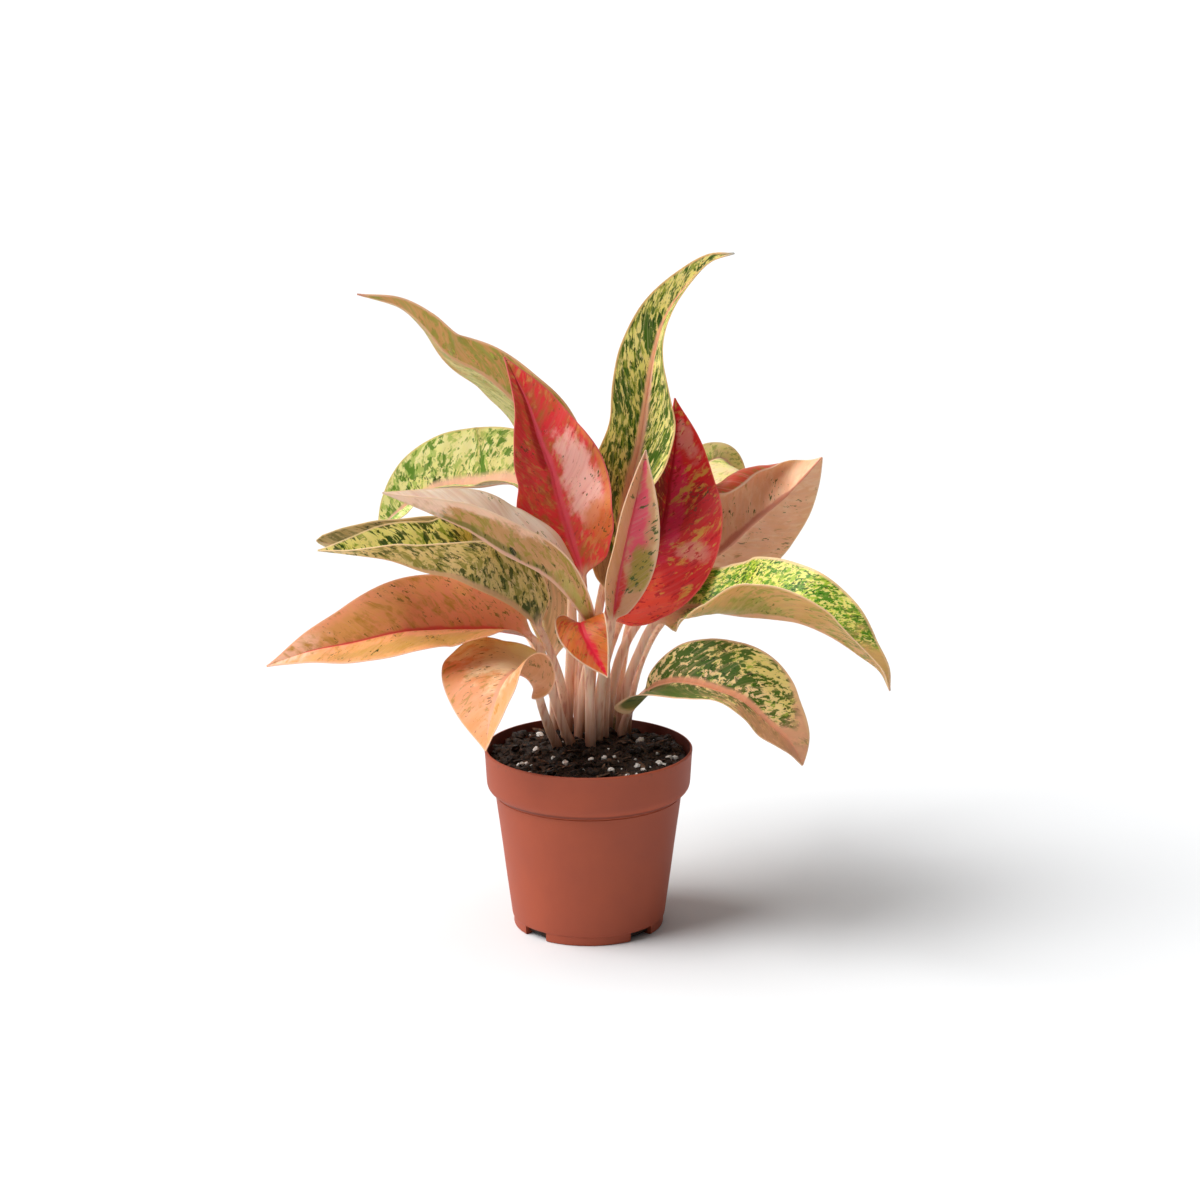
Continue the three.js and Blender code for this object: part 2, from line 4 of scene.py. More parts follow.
import bpy
import numpy as np
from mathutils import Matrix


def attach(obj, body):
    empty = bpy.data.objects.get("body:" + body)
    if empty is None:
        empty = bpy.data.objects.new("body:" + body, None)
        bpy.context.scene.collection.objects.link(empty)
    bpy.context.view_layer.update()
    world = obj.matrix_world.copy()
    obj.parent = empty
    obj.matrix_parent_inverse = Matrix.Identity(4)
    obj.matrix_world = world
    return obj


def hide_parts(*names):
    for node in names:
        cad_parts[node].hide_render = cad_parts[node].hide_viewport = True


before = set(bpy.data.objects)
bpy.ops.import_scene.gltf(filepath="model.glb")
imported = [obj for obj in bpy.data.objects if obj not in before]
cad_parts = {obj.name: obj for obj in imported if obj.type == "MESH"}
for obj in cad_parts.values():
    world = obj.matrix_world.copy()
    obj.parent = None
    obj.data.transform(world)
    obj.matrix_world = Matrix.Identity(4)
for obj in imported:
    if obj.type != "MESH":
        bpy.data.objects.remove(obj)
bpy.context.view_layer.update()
random.seed(11)

# Pot
# A 108 mm nursery pot, injection moulded in one piece from terracotta-coloured polypropylene.
# Its collar and rim are rolled out over the tapered cup, and it stands on a flat base that four
# diagonal channels and eight drain holes keep open to the air.
pot_wall = 0.0013
pot_sides = 144
foot_radius = 0.0392
channel_width = 0.015
channel_start = 0.012
channel_height = 0.0048
drain_radius = 0.0035
drain_places = (0.019, 0.030)
diagonals = (45, 135, 225, 315)
pot_outside = (
    (0.0384, 0.0), (0.0390, 0.0004), (0.0392, 0.0010), (0.0392, 0.0044), (0.0394, 0.0050),
    (0.0399, 0.0055), (0.0401, 0.0064), (0.0415, 0.0171), (0.0432, 0.0300), (0.0448, 0.0430),
    (0.0465, 0.0560), (0.0475, 0.0635), (0.0482, 0.0690), (0.0484, 0.0709), (0.0481, 0.0712),
    (0.0483, 0.0715), (0.0492, 0.0723),
    (0.0505, 0.0733), (0.0516, 0.0743), (0.0524, 0.0755), (0.0528, 0.0768), (0.0530, 0.0790),
    (0.0533, 0.0840),
    (0.0536, 0.0895), (0.0538, 0.0925), (0.0539, 0.0937), (0.05400, 0.0943), (0.05398, 0.0949),
    (0.0537, 0.0953), (0.0534, 0.0955),
)
pot_inside = (
    (0.0369, 0.0013), (0.0378, 0.0019), (0.0380, 0.0030), (0.0388, 0.0078), (0.0470, 0.0700),
    (0.0473, 0.0722), (0.0500, 0.0745), (0.0515, 0.0760), (0.0517, 0.0780), (0.0526, 0.0940),
    (0.0528, 0.0950), (0.0530, 0.0960), (0.0530, 0.0990),
)


def colour(hex_code):
    """Linear colour of an sRGB hex value."""
    parts = [int(hex_code[i:i + 2], 16) / 255 for i in (1, 3, 5)]
    return [c / 12.92 if c <= 0.04045 else ((c + 0.055) / 1.055) ** 2.4 for c in parts] + [1.0]


def fill(node, sockets):
    """Links or sets the inputs of a node or of a finish's shader."""
    for name, value in sockets.items():
        if isinstance(value, bpy.types.NodeSocket):
            node.id_data.links.new(value, node.inputs[name])
        else:
            node.inputs[name].default_value = value


def add(tree, kind, sockets, out=0, **settings):
    """Adds a node with its settings, values and links, and gives one of its outputs."""
    made = tree.nodes.new("ShaderNode" + kind)
    for name, value in settings.items():
        setattr(made, name, value)
    fill(made, sockets)
    return made.outputs[out]


def new_finish(name):
    """An empty material that holds one surface shader, and the shader's tree."""
    finish = bpy.data.materials.new(name)
    finish.use_nodes = True
    return finish, finish.node_tree, finish.node_tree.nodes["Principled BSDF"]


def clear_selection():
    if bpy.context.object and bpy.context.object.mode == "EDIT":
        bpy.ops.object.mode_set(mode="OBJECT")
    bpy.ops.object.select_all(action="DESELECT")


def pick_faces(body, wanted):
    """Goes into edit mode with only the wanted faces of a body selected."""
    bpy.ops.object.mode_set(mode="EDIT")
    bpy.ops.mesh.select_mode(type="FACE")
    bpy.ops.mesh.select_all(action="DESELECT")
    bpy.ops.object.mode_set(mode="OBJECT")
    body.data.polygons.foreach_set("select", [wanted(face) for face in body.data.polygons])
    bpy.ops.object.mode_set(mode="EDIT")


def turned_body(name, profile, sides):
    """A solid of revolution: a low drum whose top face is drawn up and sized ring by ring."""
    clear_selection()
    (first_radius, first_z), *rest = profile
    drum = 0.00001
    bpy.ops.mesh.primitive_cylinder_add(
        vertices=sides, radius=first_radius, depth=drum, location=(0, 0, first_z + drum / 2))
    body = bpy.context.object
    body.name = name
    bpy.ops.object.transform_apply(location=True)
    pick_faces(body, lambda face: face.normal.z > 0.5)
    radius, height = first_radius, first_z + drum
    for next_radius, next_height in rest:
        bpy.ops.mesh.extrude_region_move(
            TRANSFORM_OT_translate={"value": (0, 0, next_height - height)})
        size = next_radius / radius
        bpy.ops.transform.resize(value=(size, size, 1), center_override=(0, 0, next_height))
        radius, height = next_radius, next_height
    bpy.ops.object.mode_set(mode="OBJECT")
    return body


def pick(body):
    """Makes one body the only one that is selected, and the active one."""
    clear_selection()
    body.select_set(True)
    bpy.context.view_layer.objects.active = body


def shade(body, degrees):
    """Shades a body smooth, but for edges that turn by more than an angle."""
    pick(body)
    bpy.ops.object.shade_smooth_by_angle(angle=math.radians(degrees))


def cut(body, tool):
    """Takes one solid out of another, and puts the tool away."""
    pick(body)
    bite = body.modifiers.new("cut", "BOOLEAN")
    bite.operation = "DIFFERENCE"
    bite.solver = "EXACT"
    bite.object = tool
    bpy.ops.object.modifier_apply(modifier=bite.name)
    bpy.data.objects.remove(tool, do_unlink=True)


def diagonal_block(turn, start, width, bottom, top):
    """A straight block that runs out along a diagonal of the base to past the wall."""
    clear_selection()
    end = foot_radius + 0.004
    middle = (start + end) / 2
    bpy.ops.mesh.primitive_cube_add(
        size=1,
        location=(middle * math.cos(turn), middle * math.sin(turn), (bottom + top) / 2),
        rotation=(0, 0, turn),
        scale=(end - start, width, top - bottom))
    block = bpy.context.object
    bpy.ops.object.transform_apply(location=True, rotation=True, scale=True)
    return block


pot = turned_body("pot_moulded", pot_outside, pot_sides)
hollow = turned_body("pot_hollow", pot_inside, pot_sides)
for degrees in diagonals:
    cut(hollow, diagonal_block(
        math.radians(degrees), channel_start - pot_wall, channel_width + 2 * pot_wall,
        -0.001, channel_height + pot_wall))
cut(pot, hollow)
for degrees in diagonals:
    turn = math.radians(degrees)
    cut(pot, diagonal_block(turn, channel_start, channel_width, -0.001, channel_height))
    for place in drain_places:
        clear_selection()
        bpy.ops.mesh.primitive_cylinder_add(
            vertices=28, radius=drain_radius, depth=0.004,
            location=(place * math.cos(turn), place * math.sin(turn), channel_height + 0.0006))
        drill = bpy.context.object
        bpy.ops.object.transform_apply(location=True)
        cut(pot, drill)

shade(pot, 32)

# Polypropylene, moulded against a finely spark-eroded tool: a matt skin of 0.7 mm grain with a soft
# wide sheen. Flow clouds 36 mm across vary its colour, specks of mix 2.4 mm apart dust its rim,
# and its inner wall is darkened with painted shade.
clouds_a_metre = 28.0
grain_mm = 0.7
specks_a_metre = 420.0
pot_finish, tree, skin = new_finish("terracotta_polypropylene_moulded")
place = add(tree, "TexCoord", {}, out=3)
clouds = add(tree, "TexNoise", {
    "Vector": place, "Scale": clouds_a_metre, "Detail": 4.0, "Roughness": 0.6})
grain = add(tree, "TexNoise", {"Vector": place, "Scale": 1000 / grain_mm, "Detail": 2.0})
tone = add(tree, "MapRange", {"Value": clouds, "From Min": 0.3, "From Max": 0.7})
plastic = add(tree, "Mix", {0: tone, 6: colour("#A04528"), 7: colour("#AA4D2E")},
              out=2, data_type="RGBA")
height = add(tree, "SeparateXYZ", {"Vector": place}, out=2)
dusty = add(tree, "MapRange", {"Value": height, "From Min": 0.090, "From Max": 0.0956,
                               "To Min": 0.0, "To Max": 0.35})
specks = add(tree, "TexNoise", {"Vector": place, "Scale": specks_a_metre, "Detail": 3.0})
dust_specks = add(tree, "MapRange", {"Value": specks, "From Min": 0.58, "From Max": 0.66})
dust = add(tree, "Math", {0: dusty, 1: dust_specks}, operation="MULTIPLY")
plastic = add(tree, "Mix", {0: dust, 6: plastic, 7: colour("#5E3A2A")}, out=2, data_type="RGBA")
# Painted shade: the inner wall is darkened where it faces inwards, for the shade inside the pot
inward = add(tree, "VectorMath", {0: add(tree, "NewGeometry", {}, out=1), 1: place}, out=1,
             operation="DOT_PRODUCT")
painted_inner_shade = add(tree, "MapRange", {"Value": inward, "From Min": -0.010, "From Max": -0.030,
                              "To Min": 0.0, "To Max": 0.80})
plastic = add(tree, "Mix", {0: painted_inner_shade, 6: plastic, 7: colour("#3A120C")}, out=2, data_type="RGBA")
gloss = add(tree, "MapRange", {"Value": clouds, "From Min": 0.3, "From Max": 0.7,
                               "To Min": 0.55, "To Max": 0.65})
relief = add(tree, "Bump", {"Strength": 0.25, "Distance": 0.00012, "Height": grain})
fill(skin, {"Base Color": plastic, "Roughness": gloss, "Normal": relief, "IOR": 1.49,
            "Subsurface Weight": 0.06, "Subsurface Scale": 0.0012,
            "Subsurface Radius": (1.0, 0.35, 0.2)})
pot.data.materials.clear()
pot.data.materials.append(pot_finish)
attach(pot, "root")
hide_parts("pot")

# Potting mix
# Peat and bark with white perlite, tipped into the pot and pressed down round the stalks. It lies
# 6 mm below the rim and rises a little towards the crown, with loose lumps on its surface.
mix_edge_z = 0.0888
mound_rise = 0.0075
mound_radius = 0.024
mound_middle = (0.0, 0.015)
mix_radius = 0.0522
mix_rings = 46
mix_sides = 128
bed_top_z = 0.0872
mix_below = (
    (0.0365, 0.0017), (0.0382, 0.0086), (0.0468, 0.0720), (0.0513, 0.0785), (0.0521, bed_top_z))
lump_lift = 0.0010
wall_dip = 0.0008
wall_dip_start = 0.046
wall_dip_width = 0.006
crumb_size = 0.00022
swell_count = 150
swell_reach = 0.050
swells = [
    (swell_reach * math.sqrt(random.random()), random.uniform(0, math.tau),
     random.uniform(0.0004, 0.0016), random.uniform(0.0022, 0.0048))
    for _ in range(swell_count)
]
swells = [(r * math.cos(a), r * math.sin(a), rise, spread) for r, a, rise, spread in swells]


def mix_height(x, y):
    """Height of the mix's surface over a place in the pot."""
    away = math.hypot(x - mound_middle[0], y - mound_middle[1]) / mound_radius
    height = mix_edge_z + mound_rise * math.exp(-away * away)
    for sx, sy, rise, spread in swells:
        apart = ((x - sx) ** 2 + (y - sy) ** 2) / spread ** 2
        if apart < 6:
            height += rise * math.exp(-apart)
    near_wall = max(0.0, (math.hypot(x, y) - wall_dip_start) / wall_dip_width)
    return height - wall_dip * near_wall * near_wall + lump_lift


mix = turned_body("potting_mix_bed", mix_below, mix_sides)
pick_faces(mix, lambda face: face.normal.z > 0.9 and face.center.z > 0.08)
for _ in range(mix_rings - 1):
    bpy.ops.mesh.inset(thickness=mix_radius / mix_rings, use_even_offset=False)
bpy.ops.mesh.poke()
bpy.ops.object.mode_set(mode="OBJECT")
for vertex in mix.data.vertices:
    if vertex.co.z > bed_top_z - 0.0001:
        x, y, _ = vertex.co
        part = min(1.0, (mix_radius - math.hypot(x, y)) / 0.0015)
        crumb = random.uniform(-crumb_size, crumb_size) * part
        vertex.co.z += (mix_height(x, y) - bed_top_z) * part + crumb
shade(mix, 55)


def strewn(name, shape, places):
    """One mesh of many copies of a small lump, each turned, sized and half sunk in its place."""
    corners = np.array([v.co[:] for v in shape.data.vertices])
    faces = [list(p.vertices) for p in shape.data.polygons]
    bpy.data.objects.remove(shape, do_unlink=True)
    points, polygons = [], []
    for (x, y, z), size, stretch, turns in places:
        a, b, c = turns
        turn_z = np.array([[math.cos(a), -math.sin(a), 0], [math.sin(a), math.cos(a), 0], [0, 0, 1]])
        turn_y = np.array([[math.cos(b), 0, math.sin(b)], [0, 1, 0], [-math.sin(b), 0, math.cos(b)]])
        turn_x = np.array([[1, 0, 0], [0, math.cos(c), -math.sin(c)], [0, math.sin(c), math.cos(c)]])
        lump = corners * size * np.array(stretch)
        rough = np.array([1 + random.uniform(-0.22, 0.22) for _ in corners])[:, None]
        start = len(points)
        points += ((lump * rough) @ (turn_z @ turn_y @ turn_x).T + (x, y, z)).tolist()
        polygons += [[start + i for i in face] for face in faces]
    mesh = bpy.data.meshes.new(name)
    mesh.from_pydata(points, [], polygons)
    made = bpy.data.objects.new(name, mesh)
    bpy.context.collection.objects.link(made)
    return made


def scattered_places(count, smallest, largest, stretches, sink, reach=0.0500):
    """Seeded places for lumps all over the mix, with their sizes and turns."""
    places = []
    for _ in range(count):
        radius = reach * math.sqrt(random.random())
        angle = random.uniform(0, math.tau)
        size = smallest + (largest - smallest) * random.random() ** 1.8
        x, y = radius * math.cos(angle), radius * math.sin(angle)
        stretch = [random.uniform(*pair) for pair in stretches]
        turns = (random.uniform(0, math.tau), random.uniform(-0.5, 0.5), random.uniform(-0.6, 0.6))
        places.append(((x, y, mix_height(x, y) + size * sink), size, stretch, turns))
    return places


def small_stone(subdivisions):
    clear_selection()
    bpy.ops.mesh.primitive_ico_sphere_add(subdivisions=subdivisions, radius=1)
    stone = bpy.context.object
    for vertex in stone.data.vertices:
        vertex.co *= 1 + 0.12 * math.sin(5 * vertex.co.x + 3 * vertex.co.y + 7 * vertex.co.z)
    return stone


peat = strewn("potting_mix_peat_lumps", small_stone(2), scattered_places(
    760, 0.0006, 0.0030, ((0.8, 1.3), (0.7, 1.1), (0.5, 0.9)), 0.05))
bark = strewn("potting_mix_bark_chips", small_stone(1), scattered_places(
    150, 0.0008, 0.0024, ((1.6, 3.2), (0.4, 0.8), (0.25, 0.4)), 0.25))
perlite_places = scattered_places(
    64, 0.0006, 0.0021, ((0.8, 1.2), (0.8, 1.1), (0.7, 1.0)), 0.45)
perlite = strewn("potting_mix_perlite", small_stone(2), perlite_places)
for loose in (peat, bark, perlite):
    pick(loose)
    bpy.ops.object.mode_set(mode="EDIT")
    bpy.ops.mesh.select_all(action="SELECT")
    bpy.ops.mesh.normals_make_consistent(inside=False)
    bpy.ops.object.mode_set(mode="OBJECT")
    shade(loose, 50)

# Moist peat, crumbled: nearly black brown in crumbs of 1.5 mm and clods of 8 mm, matt, with a few
# wet glints
crumbs_a_metre = 650.0
clods_a_metre = 130.0
peat_finish, tree, skin = new_finish("moist_peat_crumbled")
place = add(tree, "TexCoord", {}, out=3)
crumbs = add(tree, "TexNoise", {
    "Vector": place, "Scale": crumbs_a_metre, "Detail": 6.0, "Roughness": 0.7})
clods = add(tree, "TexNoise", {"Vector": place, "Scale": clods_a_metre, "Detail": 3.0})
tone = add(tree, "MapRange", {"Value": crumbs, "From Min": 0.42, "From Max": 0.70})
earth = add(tree, "Mix", {0: tone, 6: colour("#0E0805"), 7: colour("#5E4330")},
            out=2, data_type="RGBA")
darker = add(tree, "MapRange", {"Value": clods, "From Min": 0.42, "From Max": 0.60,
                                "To Min": 0.55, "To Max": 0.0})
earth = add(tree, "Mix", {0: darker, 6: earth, 7: colour("#100A08")}, out=2, data_type="RGBA")
wet = add(tree, "MapRange", {"Value": clods, "From Min": 0.35, "From Max": 0.65,
                             "To Min": 0.30, "To Max": 0.80})
relief = add(tree, "Bump", {"Strength": 0.9, "Distance": 0.0009, "Height": crumbs})
fill(skin, {"Base Color": earth, "Roughness": wet, "Normal": relief, "IOR": 1.4,
            "Specular IOR Level": 0.35})

# Composted pine bark, chipped: reddish brown, mottled with paler fibre every 2.4 mm
fibres_a_metre = 420.0
bark_finish, tree, skin = new_finish("composted_bark_chipped")
place = add(tree, "TexCoord", {}, out=3)
fibres = add(tree, "TexNoise", {"Vector": place, "Scale": fibres_a_metre, "Detail": 5.0})
tone = add(tree, "MapRange", {"Value": fibres, "From Min": 0.35, "From Max": 0.70})
wood = add(tree, "Mix", {0: tone, 6: colour("#24150F"), 7: colour("#76533B")},
           out=2, data_type="RGBA")
relief = add(tree, "Bump", {"Strength": 0.8, "Distance": 0.0004, "Height": fibres})
fill(skin, {"Base Color": wood, "Roughness": 0.8, "Normal": relief, "IOR": 1.45})

# Perlite, expanded in a furnace: white porous glass crumbs with pores of 0.9 mm, stained by peat
pores_a_metre = 1100.0
perlite_finish, tree, skin = new_finish("perlite_expanded")
place = add(tree, "TexCoord", {}, out=3)
pores = add(tree, "TexNoise", {"Vector": place, "Scale": pores_a_metre, "Detail": 3.0})
stain = add(tree, "MapRange", {"Value": pores, "From Min": 0.30, "From Max": 0.52,
                               "To Min": 0.8, "To Max": 0.0})
white = add(tree, "Mix", {0: stain, 6: colour("#F2EEE8"), 7: colour("#A39587")},
            out=2, data_type="RGBA")
relief = add(tree, "Bump", {"Strength": 0.7, "Distance": 0.0003, "Height": pores})
fill(skin, {"Base Color": white, "Roughness": 0.85, "Normal": relief, "IOR": 1.5})

for piece, finish in (
        (mix, peat_finish), (peat, peat_finish), (bark, bark_finish), (perlite, perlite_finish)):
    piece.data.materials.clear()
    piece.data.materials.append(finish)
    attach(piece, "root")
    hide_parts("soil")

# Canes
# The plant's three short woody stems, grown up through the mix. Each is ringed by the scars of the
# leaves that it has shed, and stands behind the stalks that sprout from its top.
cane_radius = 0.0030
cane_foot_z = 0.074
cane_joint = 0.0065
canes = (("stem_middle", 0.0015, 0.0128, 0.104), ("stem_left", -0.0115, 0.0245, 0.103),
         ("stem_right", 0.012, 0.0345, 0.102))

# Corky skin of a soft-wooded cane, as grown: green brown and matt, mottled every 1.9 mm
cork_a_metre = 520.0
cane_finish, tree, skin = new_finish("soft_cane_bark_grown")
place = add(tree, "TexCoord", {}, out=3)
cork = add(tree, "TexNoise", {"Vector": place, "Scale": cork_a_metre, "Detail": 4.0})
tone = add(tree, "MapRange", {"Value": cork, "From Min": 0.35, "From Max": 0.65})
bark_tone = add(tree, "Mix", {0: tone, 6: colour("#6A5638"), 7: colour("#9A8458")},
                out=2, data_type="RGBA")
relief = add(tree, "Bump", {"Strength": 0.6, "Distance": 0.0003, "Height": cork})
fill(skin, {"Base Color": bark_tone, "Roughness": 0.75, "Normal": relief, "IOR": 1.45})

for node_name, cane_x, cane_y, cane_top in canes:
    outline = [(cane_radius - 0.0003, cane_foot_z)]
    joint = cane_foot_z + cane_joint
    while joint < cane_top - cane_joint / 2:
        outline += [(cane_radius - 0.00035, joint - 0.0011), (cane_radius - 0.0001, joint - 0.0005),
                    (cane_radius, joint), (cane_radius - 0.0001, joint + 0.0004),
                    (cane_radius - 0.0004, joint + 0.0009)]
        joint += cane_joint
    outline += [(cane_radius - 0.0003, cane_top - 0.0011), (cane_radius - 0.0006, cane_top - 0.0004),
                (cane_radius - 0.0012, cane_top)]
    cane = turned_body(node_name + "_ringed", outline, 28)
    for vertex in cane.data.vertices:
        vertex.co.x += cane_x
        vertex.co.y += cane_y
    shade(cane, 50)
    cane.data.materials.clear()
    cane.data.materials.append(cane_finish)
    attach(cane, "root")
    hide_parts(node_name)

# Leaves
# Each leaf grew as one piece: a fleshy channelled stalk that widens into a smooth leathery blade
# with a keeled midrib. The numbers repeat the frame's own leaves, in millimetres, on finer rings.
mm = 0.001
blade_thickness = 0.8
margin_thickness = 0.36
rib_depth = 1.3
rib_spread = 1.5
blade_rings = 92
stalk_rings = 18
across_steps = np.array(
    [0, 0.025, 0.06, 0.11, 0.18, 0.26, 0.35, 0.45, 0.55, 0.65, 0.75, 0.84, 0.91, 0.96, 0.99, 1.0])
stalk_root_radius = 3.0
stalk_neck_radius = 2.1
vein_slant = 52
vein_bend = 0.35
vein_pitch = 8.5
vein_relief = 0.16
groove_depth = 0.30
groove_spread = 1.1
flutter_height = 0.35
flutter_pace = 2.7
least_half_width = 0.5
stalk_edge, stalk_top, stalk_keel = 0.05, 0.40, 0.90
path_steps = 600
ring_crowding = 1.15
look_ahead = 0.3
leaves_apart = 19.7

